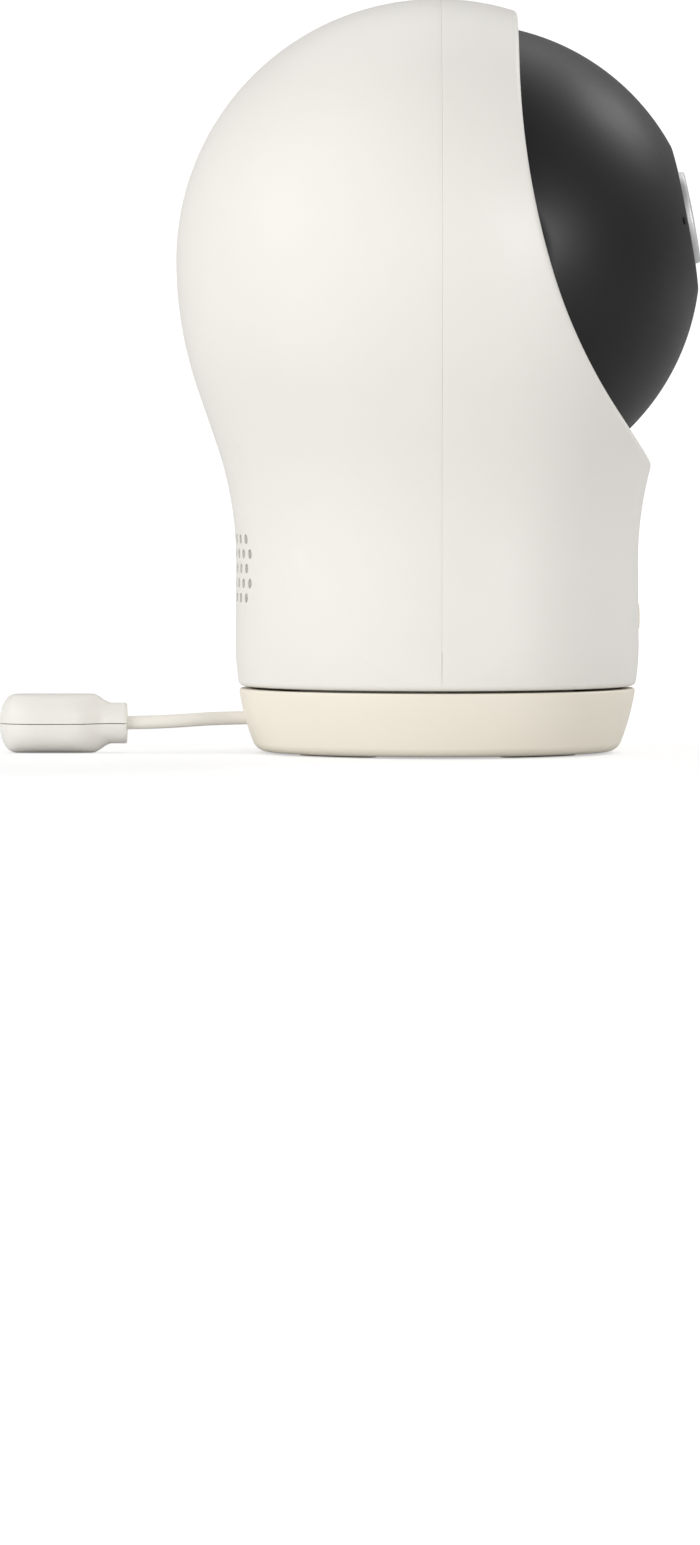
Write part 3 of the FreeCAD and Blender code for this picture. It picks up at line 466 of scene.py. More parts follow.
# Silicone rubber: pale grey, dull, with the faint fine texture of its mould.
silicone_rubber = moulded_surface("moulded_silicone_rubber", "bdb9b1", "b5b1a9", 0.68, 1.41, 0.3, 0.006)


def metal_surface(name, light, dark, roughness, grain):
    """Plated metal, with specks as marks of its finishing."""
    material, tree, place = new_surface(name)
    marks = add_node(tree, "ShaderNodeTexNoise", None,
                     {"Vector": place, "Scale": per_metre(grain), "Detail": 3.0, "Roughness": 0.6})
    dullness = add_node(tree, "ShaderNodeMapRange", None,
                        {0: marks, 3: roughness - 0.06, 4: roughness + 0.06})
    end_surface(tree, marks, light, dark, {"Metallic": 1.0, "Roughness": dullness})
    return material


# Zinc plated steel is a slightly bluish bright grey, with specks of 0.3 mm where the plating is uneven.
zinc_steel = metal_surface("zinc_plated_steel", "c9cbcc", "b4b6b9", 0.3, 0.3)

dress("base_cover", cream_abs)
dress("foot_pads", silicone_rubber)
for node in ("base_screws", "gear_screws", "plate_screws", "pan_motor_screws", "eye_screws",
             "sensor_board_screws", "tilt_motor_screws", "ballast_plate", "tilt_motor_bracket", "pan_shaft",
             "tilt_shaft"):
    dress(node, zinc_steel)


def thread_tree():
    """Geometry nodes that wind a ridge inside a bore."""
    tree, given = new_tree("thread_ridge", "Start", {
        "Bore radius": "Float", "Pitch": "Float", "Turns": "Float", "Ridge": "Float", "Low": "Float"})
    height = add_node(tree, "ShaderNodeMath", {"operation": "MULTIPLY"},
                      {0: given["Pitch"], 1: given["Turns"]})
    helix = add_node(tree, "GeometryNodeCurveSpiral", None, {
        "Resolution": 40, "Rotations": given["Turns"], "Start Radius": given["Bore radius"],
        "End Radius": given["Bore radius"], "Height": height})
    ridge = add_node(tree, "GeometryNodeCurvePrimitiveCircle", None,
                     {"Resolution": 6, "Radius": given["Ridge"]})
    wound = add_node(tree, "GeometryNodeCurveToMesh", None,
                     {"Curve": helix, "Profile Curve": ridge, "Fill Caps": True})
    lift = add_node(tree, "ShaderNodeCombineXYZ", None, {"Z": given["Low"]})
    placed = add_node(tree, "GeometryNodeTransform", None, {"Geometry": wound, "Translation": lift})
    return end_tree(tree, placed, given["Finish"])


def blank_object(name):
    """Object with an empty mesh, to run a tree on."""
    return new_object(name, bpy.data.meshes.new(name))


thread = grown("tripod_thread", blank_object("tripod_thread"), thread_tree(),
               bore_radius=(tripod_radius + 0.12) * 0.001, pitch=tripod_pitch * 0.001, turns=thread_turns,
               ridge=thread_ridge * 0.001, low=thread_low * 0.001, finish=cream_abs)
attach(thread, "base")


# ---- Power inlet and boards ----
# A flat power socket of stamped, nickel plated steel, with twelve gilt contacts on each face of its tongue.
# The boards are glass epoxy under green solder mask.

contact_count, contact_step, contact_size = 12, 0.5, (3.5, 0.3, 0.06)
contact_reach, contact_height = 28.2, 0.37

# Nickel plated steel is bright and slightly warm, with marks of 0.4 mm from its stamping.
nickel_steel = metal_surface("nickel_plated_steel", "cfccc4", "bcb8ae", 0.24, 0.4)
# Gold over copper, smooth and yellow.
gilt = metal_surface("gold_plated_copper", "e3bd6a", "d6ac55", 0.2, 0.2)

dress("usb_socket", nickel_steel)
for node in ("power_board", "main_board", "button_board", "antenna", "sensor_board", "ir_board"):
    dress(node, board_mask)


def contacts_tree():
    """Geometry nodes that lay a row of flat contacts along Y."""
    tree, given = new_tree("contact_row", "Start",
                           {"Count": "Int", "Step": "Float", "Size": "Vector", "Middle": "Vector"})
    last = add_node(tree, "ShaderNodeMath", {"operation": "SUBTRACT"}, {0: given["Count"], 1: 1.0})
    reach = add_node(tree, "ShaderNodeMath", {"operation": "MULTIPLY"}, {0: last, 1: given["Step"]})
    half = add_node(tree, "ShaderNodeMath", {"operation": "MULTIPLY"}, {0: reach, 1: -0.5})
    back = add_node(tree, "ShaderNodeCombineXYZ", None, {"Y": half})
    first = add_node(tree, "ShaderNodeVectorMath", {"operation": "ADD"}, {0: given["Middle"], 1: back})
    step = add_node(tree, "ShaderNodeCombineXYZ", None, {"Y": given["Step"]})
    line = add_node(tree, "GeometryNodeMeshLine", {"mode": "OFFSET"},
                    {"Count": given["Count"], "Start Location": first, "Offset": step})
    pad = add_node(tree, "GeometryNodeMeshCube", None, {"Size": given["Size"]})
    laid = add_node(tree, "GeometryNodeInstanceOnPoints", None, {"Points": line, "Instance": pad})
    return end_tree(tree, laid, given["Finish"])


contact_row = contacts_tree()
for face_name, height in (("upper", contact_height), ("lower", -contact_height)):
    contacts = grown("inlet_contacts_" + face_name, blank_object("contacts"), contact_row,
                     count=contact_count, step=contact_step * 0.001,
                     size=tuple(side * 0.001 for side in contact_size),
                     middle=(contact_reach * 0.001, 0.0, height * 0.001), finish=gilt)
    contacts.data.transform(to_inlet)
    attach(contacts, "base")


# ---- Turntable ----
# The head turns on a ring of acetal, a slippery white plastic, and its motor drives round an acetal gear.
# The speaker, its gasket and the motors fill the neck, and PVC-sheathed cables run up the middle.

# Acetal is a waxy off-white, moulded smooth.
acetal = moulded_surface("moulded_acetal", "e6e5df", "deddd6", 0.34, 1.48, 0.4, 0.002)
# Black ABS in the works and in the lens barrel, dull from its mould.
black_abs = moulded_surface("moulded_black_abs", "1c1c1d", "171718", 0.5, 1.53, 0.3, 0.004)
# PVC cable sheath, slightly glossy dark grey.
cable_pvc = moulded_surface("extruded_pvc", "3a3a3d", "343437", 0.38, 1.54, 0.4, 0.003)
# Moulded epoxy of the chips.
chip_epoxy = moulded_surface("moulded_epoxy", "29292b", "242426", 0.52, 1.55, 0.3, 0.003)

for node in ("glide_ring", "pan_ring_gear", "pan_pinion", "drive_socket", "idle_socket", "drive_trunnion",
             "tilt_fixed_gear", "tilt_pinion", "tilt_bush", "idle_trunnion"):
    dress(node, acetal)
for node in ("speaker", "button_switch", "lens_holder", "microphone"):
    dress(node, black_abs)
for node in ("lower_harness", "upper_harness", "eye_harness"):
    dress(node, cable_pvc)
for node in ("pan_motor", "tilt_motor"):
    dress(node, nickel_steel)
dress("speaker_gasket", silicone_rubber)
dress("image_sensor", chip_epoxy)
dress("swivel_plate", white_abs)


# ---- Head housing ----
# Two thin ABS mouldings make the head. They meet in a hairline seam over the top and down both sides.
# The shape is turned: a ball above, a full cheek, a hollow waist and a straight neck with a rounded lip.

wall, seam_x, seam_gap = 2.0, 0.5, 0.012
crown_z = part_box("rear_housing")[1].z * 1000
head_radius = -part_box("rear_housing")[0].x * 1000
head_z = crown_z - head_radius
cheek_radius, flare = 65.2, math.radians(18.8)
waist_z, neck_radius, neck_foot_z, lip_z = 31.5, 33.0, 12.0, 11.05
# The neck swells slightly from the waist down to this height, and tucks in from there to its lip.
tuck_z, neck_swell, neck_tuck = 18.0, 0.15, 0.45
# The seam's edges are rounded over this turn and this length.
edge_turn, edge_rounding = 0.0012, 0.07
lip_rounding, lip_bevel = 0.9, 0.1
seam_steps, lip_steps = 163, 81
ray_centre = np.array((0.0, 0.0, 85.0))


def housing_radius(z, inset):
    """Radius of the housing's outer skin at height z, or of a skin this far inside it."""
    z = np.asarray(z, float)
    cheek_end = (head_radius - cheek_radius * (1 - math.cos(flare)), head_z - cheek_radius * math.sin(flare))
    inward = math.tan(flare) * (cheek_end[1] - waist_z) - (cheek_end[0] - neck_radius)
    bow = inward / (1 / math.cos(flare) - 1)
    ball = np.sqrt(np.maximum((head_radius - inset) ** 2 - (z - head_z) ** 2, 0))
    drop = np.clip(z - head_z, -(cheek_radius - inset), 0)
    cheek = head_radius - cheek_radius + np.sqrt((cheek_radius - inset) ** 2 - drop ** 2)
    side_low = head_z - (cheek_radius - inset) * math.sin(flare)
    side_high_r = head_radius - cheek_radius + (cheek_radius - inset) * math.cos(flare)
    side = side_high_r - (side_low - z) * math.tan(flare)
    rise = np.clip(z - waist_z, 0, bow + inset)
    waist = neck_radius + bow - np.sqrt((bow + inset) ** 2 - rise ** 2)
    waist_high = waist_z + (bow + inset) * math.sin(flare)
    swell = np.clip((waist_z - z) / (waist_z - tuck_z), 0, 1) * neck_swell
    tuck_height = tuck_z - neck_foot_z
    tuck = neck_tuck * (np.clip(tuck_z - z, 0, tuck_height) / tuck_height) ** 2
    neck = neck_radius + (swell - tuck if inset < 0.5 else 0.0) - inset
    return np.where(z >= head_z, ball, np.where(z >= side_low, cheek, np.where(
        z >= waist_high, side, np.where(z >= waist_z, waist, neck))))


def on_skin(theta, alpha, inset):
    """Where rays from inside the head leave the skin. Alpha is from +X, and theta round +X from +Y up."""
    theta, alpha = np.broadcast_arrays(np.asarray(theta, float), np.asarray(alpha, float))
    ray = np.stack((np.cos(alpha), np.sin(alpha) * np.cos(theta), np.sin(alpha) * np.sin(theta)), -1)
    near, far = np.zeros(theta.shape), np.full(theta.shape, 125.0)
    for _ in range(44):
        middle = (near + far) / 2
        at = ray_centre + ray * middle[..., None]
        outside = np.hypot(at[..., 0], at[..., 1]) > housing_radius(at[..., 2], inset)
        near, far = np.where(outside, near, middle), np.where(outside, middle, far)
    return ray_centre + ray * far[..., None]


def last_inside(theta, low, high, inset, cut):
    """Largest alpha on each ray's plane, between two, whose skin point is still beyond the cut."""
    low, high = np.broadcast_to(low, theta.shape).copy(), np.broadcast_to(high, theta.shape).copy()
    for _ in range(40):
        middle = (low + high) / 2
        beyond = cut(on_skin(theta, middle, inset))
        low, high = np.where(beyond, middle, low), np.where(beyond, high, middle)
    return (low + high) / 2


def ray_angles(points):
    """Theta and alpha of points."""
    out = points - ray_centre
    return np.arctan2(out[..., 2], out[..., 1]), np.arctan2(np.hypot(out[..., 1], out[..., 2]), out[..., 0])


def toward(start, end, distance):
    """Points this far from each start on the way to its end."""
    way = end - start
    return start + way * (distance / np.maximum(np.linalg.norm(way, axis=-1, keepdims=True), 1e-9))


def rounded(a, corner, b, shares):
    """Points of the soft bend from a to b round a corner."""
    return [a * (1 - t) ** 2 + corner * 2 * t * (1 - t) + b * t ** 2 for t in shares]


def housing_edge(seam_at, facing):
    """Stations round a half's outer edge: up over the seam, then back along the lip on its own side."""
    lip_radius = float(housing_radius(neck_foot_z, 0.0))
    bore = neck_radius - wall

    def lip_point(turn, radius, z):
        return np.stack((radius * np.cos(turn), radius * np.sin(turn), np.full_like(turn, z)), -1)

    def past_seam(at):
        return at[..., 0] > seam_at

    corner = np.array([math.acos(seam_at / lip_radius)])
    first_out = ray_angles(lip_point(-corner, lip_radius, neck_foot_z))[0][0] + 2 * math.pi
    first_in = ray_angles(lip_point(-corner, bore, neck_foot_z))[0][0] + 2 * math.pi
    quarter = math.pi / 2
    share = np.linspace(1, -1, seam_steps)[1:-1]
    theta_out, theta_in = quarter + share * (first_out - quarter), quarter + share * (first_in - quarter)
    alpha_out = last_inside(theta_out, quarter - 0.3, quarter + 0.3, 0.0, past_seam)
    alpha_in = last_inside(theta_in, quarter - 0.3, quarter + 0.3, wall, past_seam)
    last_turn = -corner[0] if facing > 0 else 2 * math.pi - corner[0]
    turns = np.linspace(corner[0], last_turn, lip_steps)
    out_low, in_low = lip_point(turns, lip_radius, neck_foot_z), lip_point(turns, bore, neck_foot_z)
    theta_low, alpha_low = ray_angles(out_low)
    theta_low_in, alpha_low_in = ray_angles(in_low)
    out = (np.concatenate((theta_out, theta_low)), np.concatenate((alpha_out, alpha_low)))
    inner = (np.concatenate((theta_in, theta_low_in)), np.concatenate((alpha_in, alpha_low_in)))
    # The wall's edge: a hairline rounding and a flat face on the seam, and a rounded lip on the neck.
    seam_out, seam_in = on_skin(theta_out, alpha_out, 0.0), on_skin(theta_in, alpha_in, wall)
    edge_start = on_skin(theta_out, alpha_out + facing * -edge_turn, 0.0)
    soft = rounded(edge_start, seam_out, toward(seam_out, seam_in, edge_rounding), (0.25, 0.5, 0.75, 1.0))
    seam_rows = [edge_start, *soft, (soft[-1] + seam_in) / 2, toward(seam_in, soft[-1], 0.01), seam_in]
    lip_rows = [out_low]
    for step in range(1, 5):
        bend = math.radians(22.5 * step)
        lip_rows.append(lip_point(turns, lip_radius - lip_rounding * (1 - math.cos(bend)),
                                  neck_foot_z - (neck_foot_z - lip_z) * math.sin(bend)))
    lip_rows += [lip_point(turns, bore + lip_bevel, lip_z), lip_point(turns, bore, lip_z + lip_bevel), in_low]
    rows = [np.concatenate((seam, lip)) for seam, lip in zip(seam_rows, lip_rows)]
    start_alpha = np.concatenate((alpha_out + facing * -edge_turn, alpha_low))
    return out, inner, start_alpha, rows


# ---- Rear housing and its grille ----
# The back half has the sound holes of the speaker in five offset rows.
# Pins in the mould form them, so they are round and go straight through the wall.

grille = {"rows": 5, "columns": 9, "pitch": 0.0024, "turn": math.radians(5.5), "middle_height": 0.0304,
          "hole_radius": 0.0008, "neck": 0.032}
pin_length = 0.008


def grille_tree():
    """Geometry nodes that drill offset rows of round holes through the back of the neck."""
    tree, given = new_tree("grille_holes", "Wall", {
        "Rows": "Int", "Columns": "Int", "Pitch": "Float", "Turn": "Float", "Middle height": "Float",
        "Hole radius": "Float", "Neck": "Float"})
    wide = add_node(tree, "ShaderNodeMath", {"operation": "SUBTRACT"}, {0: given["Columns"], 1: 1.0})
    tall = add_node(tree, "ShaderNodeMath", {"operation": "SUBTRACT"}, {0: given["Rows"], 1: 1.0})
    net = add_node(tree, "GeometryNodeMeshGrid", None, {
        "Size X": wide, "Size Y": tall,
        "Vertices X": given["Columns"], "Vertices Y": given["Rows"]})
    place = add_node(tree, "GeometryNodeInputPosition")
    axes = add_node(tree, "ShaderNodeSeparateXYZ", None, {0: place}).outputs
    # Every second row, the middle one among them, is one hole short and set over by half a step.
    row = add_node(tree, "ShaderNodeMath", {"operation": "ROUND"}, {0: axes["Y"]})
    row_up = add_node(tree, "ShaderNodeMath", {"operation": "ABSOLUTE"}, {0: row})
    odd = add_node(tree, "ShaderNodeMath", {"operation": "MODULO"}, {0: row_up, 1: 2.0})
    short_row = add_node(tree, "ShaderNodeMath", {"operation": "LESS_THAN"}, {0: odd, 1: 0.5})
    column = add_node(tree, "ShaderNodeMath", {"operation": "MULTIPLY_ADD"},
                      {0: short_row, 1: -0.5, 2: axes["X"]})
    edge = add_node(tree, "ShaderNodeMath", {"operation": "MULTIPLY_ADD"}, {0: wide, 1: -0.5, 2: 0.5})
    first_column = add_node(tree, "ShaderNodeMath", {"operation": "LESS_THAN"}, {0: axes["X"], 1: edge})
    spare = add_node(tree, "ShaderNodeMath", {"operation": "MULTIPLY"}, {0: short_row, 1: first_column})
    kept = add_node(tree, "GeometryNodeDeleteGeometry", {"domain": "POINT"},
                    {"Geometry": net, "Selection": spare})
    angle = add_node(tree, "ShaderNodeMath", {"operation": "MULTIPLY_ADD"},
                     {0: column, 1: given["Turn"], 2: math.pi})
    height = add_node(tree, "ShaderNodeMath", {"operation": "MULTIPLY_ADD"},
                      {0: axes["Y"], 1: given["Pitch"], 2: given["Middle height"]})
    cosine = add_node(tree, "ShaderNodeMath", {"operation": "COSINE"}, {0: angle})
    sine = add_node(tree, "ShaderNodeMath", {"operation": "SINE"}, {0: angle})
    forward = add_node(tree, "ShaderNodeMath", {"operation": "MULTIPLY"}, {0: given["Neck"], 1: cosine})
    aside = add_node(tree, "ShaderNodeMath", {"operation": "MULTIPLY"}, {0: given["Neck"], 1: sine})
    spot = add_node(tree, "ShaderNodeCombineXYZ", None, {"X": forward, "Y": aside, "Z": height})
    aim = add_node(tree, "ShaderNodeCombineXYZ", None, {"Y": math.pi / 2, "Z": angle})
    stored = add_node(
        tree, "GeometryNodeStoreNamedAttribute", {"data_type": "FLOAT_VECTOR", "domain": "POINT"},
        {"Geometry": kept, "Name": "aim", "Value": aim})
    placed = add_node(tree, "GeometryNodeSetPosition", None, {"Geometry": stored, "Position": spot})
    read = add_node(tree, "GeometryNodeInputNamedAttribute", {"data_type": "FLOAT_VECTOR"}, {"Name": "aim"})
    pin = add_node(tree, "GeometryNodeMeshCylinder", None,
                   {"Vertices": 24, "Radius": given["Hole radius"], "Depth": pin_length})
    pins = add_node(tree, "GeometryNodeInstanceOnPoints", None, {
        "Points": placed, "Instance": pin, "Rotation": read})
    solid_pins = add_node(tree, "GeometryNodeRealizeInstances", None, {"Geometry": pins})
    drilled = add_node(tree, "GeometryNodeMeshBoolean", {"operation": "DIFFERENCE", "solver": "EXACT"},
                       {"Mesh 1": given["Wall"], "Mesh 2": solid_pins})
    return end_tree(tree, drilled, given["Finish"])


def rear_half():
    """Net of the back half, from the pole of its outer skin round the edge to the pole of its inner skin."""
    (theta, _), (theta_in, alpha_in), start, edge = housing_edge(seam_x - seam_gap / 2, -1)
    rows = [on_skin(theta, math.pi + (start - math.pi) * share, 0.0) for share in np.linspace(0, 1, 47)[:-1]]
    rows += edge
    shares = np.linspace(0, 1, 29)[1:]
    rows += [on_skin(theta_in, alpha_in + (math.pi - alpha_in) * share, wall) for share in shares]
    points = np.stack(rows).reshape(-1, 3)
    return points, woven(len(rows), len(theta), close_columns=True)


rear = make_piece("rear_housing_moulding", *rear_half(), white_abs)
rear = grown("rear_housing_moulding", rear, grille_tree(), finish=white_abs, **grille)
settle(rear, "head", "housing_white", "rear_housing")


# ---- Front housing and hood ----
# The front half ends in a hood round the eye. Its edge is one sweep, upright above and running forward
# below, and it is softly rounded on the outside.

hood_x, hood_top_z = 13.05, 113.0
# Below its top the edge follows two arcs of these radii, each down to its slope, and then a straight line.
side_arc, side_slope = 117.0, math.radians(17.2)
low_arc, low_slope = 82.0, math.radians(35.0)
hood_rounding, hood_inner_rounding = 0.8, 0.25
button_z, button_hole_radius = 22.4, 2.3


def hood_line(z):
    """How far forward the hood's edge is at height z."""
    z = np.asarray(z, float)
    side_x = hood_x + side_arc
    side_end_x = side_x - side_arc * math.cos(side_slope)
    side_end_z = hood_top_z - side_arc * math.sin(side_slope)
    low_x, low_z = side_end_x + low_arc * math.cos(side_slope), side_end_z + low_arc * math.sin(side_slope)
    low_end_x, low_end_z = low_x - low_arc * math.cos(low_slope), low_z - low_arc * math.sin(low_slope)
    upper = side_x - np.sqrt(np.maximum(side_arc ** 2 - (z - hood_top_z) ** 2, 0))
    lower = low_x - np.sqrt(np.maximum(low_arc ** 2 - (z - low_z) ** 2, 0))
    straight = low_end_x + (low_end_z - z) * math.tan(low_slope)
    below = np.where(z >= low_end_z, lower, straight)
    return np.where(z >= hood_top_z, hood_x, np.where(z >= side_end_z, upper, below))


def before_hood(at):
    """Whether points are in front of the hood's edge."""
    return at[..., 0] > hood_line(at[..., 2])


def front_half():
    """Net of the front half, closed both ways: outer skin, edge, inner skin and the hood's rounded rim."""
    (theta, _), (theta_in, alpha_in), start, edge = housing_edge(seam_x + seam_gap / 2, 1)
    hood = last_inside(theta, 0.0, start, 0.0, before_hood)
    hood_in = last_inside(theta_in, 0.0, alpha_in, wall, before_hood)
    rim, rim_in = on_skin(theta, hood, 0.0), on_skin(theta_in, hood_in, wall)
    bend = hood + hood_rounding / np.linalg.norm(rim - ray_centre, axis=-1)
    bend_in = hood_in + hood_inner_rounding / np.linalg.norm(rim_in - ray_centre, axis=-1)
    rows = [on_skin(theta, bend + (start - bend) * share, 0.0) for share in np.linspace(0, 1, 45)[:-1]]
    rows += edge
    shares = np.linspace(0, 1, 27)[1:]
    rows += [on_skin(theta_in, alpha_in + (bend_in - alpha_in) * share, wall) for share in shares]
    face_start = toward(rim_in, rim, hood_inner_rounding)
    rows += rounded(on_skin(theta_in, bend_in, wall), rim_in, face_start, (0.5, 1.0))
    face_end = toward(rim, rim_in, hood_rounding)
    rows += rounded(face_end, rim, on_skin(theta, bend, 0.0), (0.0, 0.12, 0.25, 0.38, 0.5, 0.62, 0.75, 0.88))
    points = np.stack(rows).reshape(-1, 3)
    return points, woven(len(rows), len(theta), close_rows=True, close_columns=True)


front = make_piece("front_housing_moulding", *front_half(), white_abs)
front = bored(front, ((28, 0, button_z), (40, 0, button_z), button_hole_radius))
settle(front, "head", "housing_white", "front_housing")


# ---- Front button ----
# A small round cream button low on the neck, barely proud of it.
# It presses a switch that stands behind it on a board of its own.

dress("front_button", cream_abs)


# ---- Eye ----
# The ball that tilts inside the hood, two moulded halves of black polycarbonate with a soft dull skin.
# Its shallow face carries the lens, and the microphone hears through a small hole beside it.

eye_centre = Vector((4.33, 0.0, 80.7))
lens_up = math.radians(10.8)
eye_radius, eye_half_width, eye_wall = 38.77, 36.4, 2.0
face_crown, face_dome = 37.47, 120.0
eye_joint, joint_bevel = 0.03, 0.1
face_edge, face_blend, blend_sink = 11.6, 0.8, 0.012

# Polycarbonate with a matt mould: nearly black, and dull enough to spread each reflection wide.
# The grain is 0.1 mm on the real ball, and it is drawn at 0.4 mm so that it shows.
black_polycarbonate = moulded_surface("matt_black_polycarbonate", "131314", "0f0f10",
                                      0.44, 1.45, 0.4, 0.012, 16.0)


def ball_x(radius, off_axis):
    """How far forward a ball reaches this far off its axis."""
    return math.sqrt(radius ** 2 - off_axis ** 2)


def dome_x(off_axis):
    """How far forward the shallow face is this far off the lens axis."""
    return face_crown - face_dome + ball_x(face_dome, off_axis)


def to_lens(piece):
    """Lays a piece that was turned about Z along the lens axis, and puts it in the head."""
    upright_to_lens = Matrix.Rotation(math.radians(90), 4, "Y")
    tilt = Matrix.Rotation(-lens_up, 4, "Y")
    piece.data.transform(Matrix.Translation(eye_centre * 0.001) @ tilt @ upright_to_lens)
    return piece


def flattened(piece):
    """Brings the ball's two sides in to flats for its trunnions, with a soft edge of 0.3 mm."""
    spots = np.empty(len(piece.data.vertices) * 3)
    piece.data.vertices.foreach_get("co", spots)
    spots = spots.reshape(-1, 3)
    across = np.abs(spots[:, 1]) * 1000
    skin = np.linalg.norm(spots, axis=1) * 1000 > eye_radius - eye_wall / 2
    flat = np.where(skin, eye_half_width, eye_half_width - eye_wall)
    soft = 0.15
    kept = across - soft * np.logaddexp(0, (across - flat) / soft)
    spots[:, 1] = np.where(across > flat - 2, np.sign(spots[:, 1]) * kept * 0.001, spots[:, 1])
    piece.data.vertices.foreach_set("co", spots.ravel())
    piece.data.update()
    return piece


def ball_arc(radius, *span):
    """Outline points of a ball, from one latitude toward another in steps, all in degrees."""
    turns = [math.radians(degrees) for degrees in np.arange(*span)]
    return [(radius * math.cos(turn), radius * math.sin(turn)) for turn in turns]


inner = eye_radius - eye_wall
bevel_z = eye_joint + joint_bevel
front_skin = [(eye_radius - joint_bevel, eye_joint), (ball_x(eye_radius, bevel_z), bevel_z)]
front_skin += ball_arc(eye_radius, 1.5, 71.2, 1.45)
for off in np.arange(12.4, 11.55, -0.1):
    blend = ease((off - face_edge) / face_blend)
    sink = blend_sink * 4 * blend * (1 - blend)
    front_skin.append((off, dome_x(off) * (1 - blend) + ball_x(eye_radius, off) * blend - sink))
# The face ends at a step for the infrared window, and the lens goes through the hole in the middle.
front_skin += [(11.45, dome_x(11.45)), (11.33, dome_x(11.4) - 0.03), (11.3, dome_x(11.4) - 0.12)]
front_skin += [(11.3, 35.35), (10.2, 35.35), (10.2, 33.4), (14.0, 33.4)]
front_skin += [*ball_arc(inner, 67.0, 0.5, -3.0), (inner, eye_joint)]
rear_skin = [(0.0, -eye_radius), *ball_arc(eye_radius, -88.5, -1.0, 1.5)]
rear_skin += [(ball_x(eye_radius, bevel_z), -bevel_z), (eye_radius - joint_bevel, -eye_joint)]
rear_skin += [(inner, -eye_joint), *ball_arc(inner, -3.0, -88.0, -3.0), (0.0, -inner)]

eye_front = grown("eye_front_moulding", outline_object("eye_front", front_skin), turned_wall,
                  steps_round=224, finish=black_polycarbonate)
eye_rear = grown("eye_rear_moulding", outline_object("eye_rear", rear_skin, closed=False), turned_wall,
                 steps_round=224, finish=black_polycarbonate)
trunnion_holes = (((0, 33, 0), (0, 40, 0), 5.25), ((0, -40, 0), (0, -33, 0), 4.05))
microphone_hole = ((0.5, -13.8, 30), (0.5, -13.8, 45), 0.65)
eye_front = bored(flattened(eye_front), *trunnion_holes, microphone_hole)
eye_rear = bored(flattened(eye_rear), *trunnion_holes)
settle(to_lens(eye_front), "eye", "eye_black", "eye_front")
settle(to_lens(eye_rear), "eye", "eye_black", "eye_rear")


# ---- Infrared window and lamps ----
# A polished acrylic ring round the lens, dyed so that it passes infrared and looks black.
# Eight infrared lamps of clear epoxy stand on a ring-shaped board behind it.

# Acrylic is glossy, with only the faintest orange peel from its mould.
infrared_acrylic = moulded_surface("polished_infrared_acrylic", "0b0a0d", "09080b",
                                   0.09, 1.49, 3.0, 0.002, 6.0)
dress("ir_window", infrared_acrylic)

# Clear cast epoxy with a violet tint. It lets light through, and its surface is smooth.
lamp_epoxy, tree, place = new_surface("clear_cast_epoxy")
cloud = add_node(tree, "ShaderNodeTexNoise", None, {"Vector": place, "Scale": per_metre(0.8), "Detail": 1.0})
end_surface(tree, cloud, "c9c0d4", "b8adc6", {"Roughness": 0.12, "IOR": 1.54, "Transmission Weight": 0.7})
dress("ir_leds", lamp_epoxy)


# ---- Lens ring ----
# A turned aluminium bezel, clear anodised, that screws the lens window down. Its side is smooth,
# and its front edge has a fine straight knurl for the fingers of the assembly tool.

ring_side, ring_front, ring_back, ring_seat, ring_lip = 7.6, 38.1, 34.6, 6.15, 5.7
knurl = {"teeth": 120, "knurl_radius": 0.00738, "tooth_radius": 0.00013, "tooth_length": 0.00052,
         "height": 0.03785}

# Anodised aluminium: pale silver and satin, with turning marks about 0.1 mm apart that go round it.
anodised_aluminium, tree, place = new_surface("clear_anodised_aluminium")
centred = add_node(tree, "ShaderNodeVectorMath", {"operation": "SUBTRACT"}, {0: place, 1: eye_centre * 0.001})
turned_back = add_node(tree, "ShaderNodeVectorRotate", {"rotation_type": "Y_AXIS"},
                       {"Vector": centred, "Angle": lens_up})
along_axis = add_node(tree, "ShaderNodeSeparateXYZ", None, {0: turned_back})
marks = add_node(tree, "ShaderNodeTexNoise", {"noise_dimensions": "1D"},
                 {"W": along_axis.outputs["X"], "Scale": per_metre(0.1), "Detail": 2.0})
dullness = add_node(tree, "ShaderNodeMapRange", None, {0: marks, 3: 0.5, 4: 0.6})
end_surface(tree, marks, "f2f2f1", "e6e7e7", {"Metallic": 1.0, "Roughness": dullness})


def knurl_tree():
    """Geometry nodes that set small straight teeth in a ring about Z."""
    tree, given = new_tree("straight_knurl", "Ring", {
        "Teeth": "Int", "Knurl radius": "Float", "Tooth radius": "Float", "Tooth length": "Float",
        "Height": "Float"})
    circle = add_node(tree, "GeometryNodeMeshCircle", None,
                      {"Vertices": given["Teeth"], "Radius": given["Knurl radius"]})
    lift = add_node(tree, "ShaderNodeCombineXYZ", None, {"Z": given["Height"]})
    raised = add_node(tree, "GeometryNodeSetPosition", None, {"Geometry": circle, "Offset": lift})
    tooth = add_node(tree, "GeometryNodeMeshCylinder", None,
                     {"Vertices": 8, "Radius": given["Tooth radius"], "Depth": given["Tooth length"]})
    teeth = add_node(tree, "GeometryNodeInstanceOnPoints", None, {"Points": raised, "Instance": tooth})
    both = add_node(tree, "GeometryNodeJoinGeometry")
    tree.links.new(teeth.outputs[0], both.inputs[0])
    tree.links.new(given["Ring"], both.inputs[0])
    return end_tree(tree, both, given["Finish"])


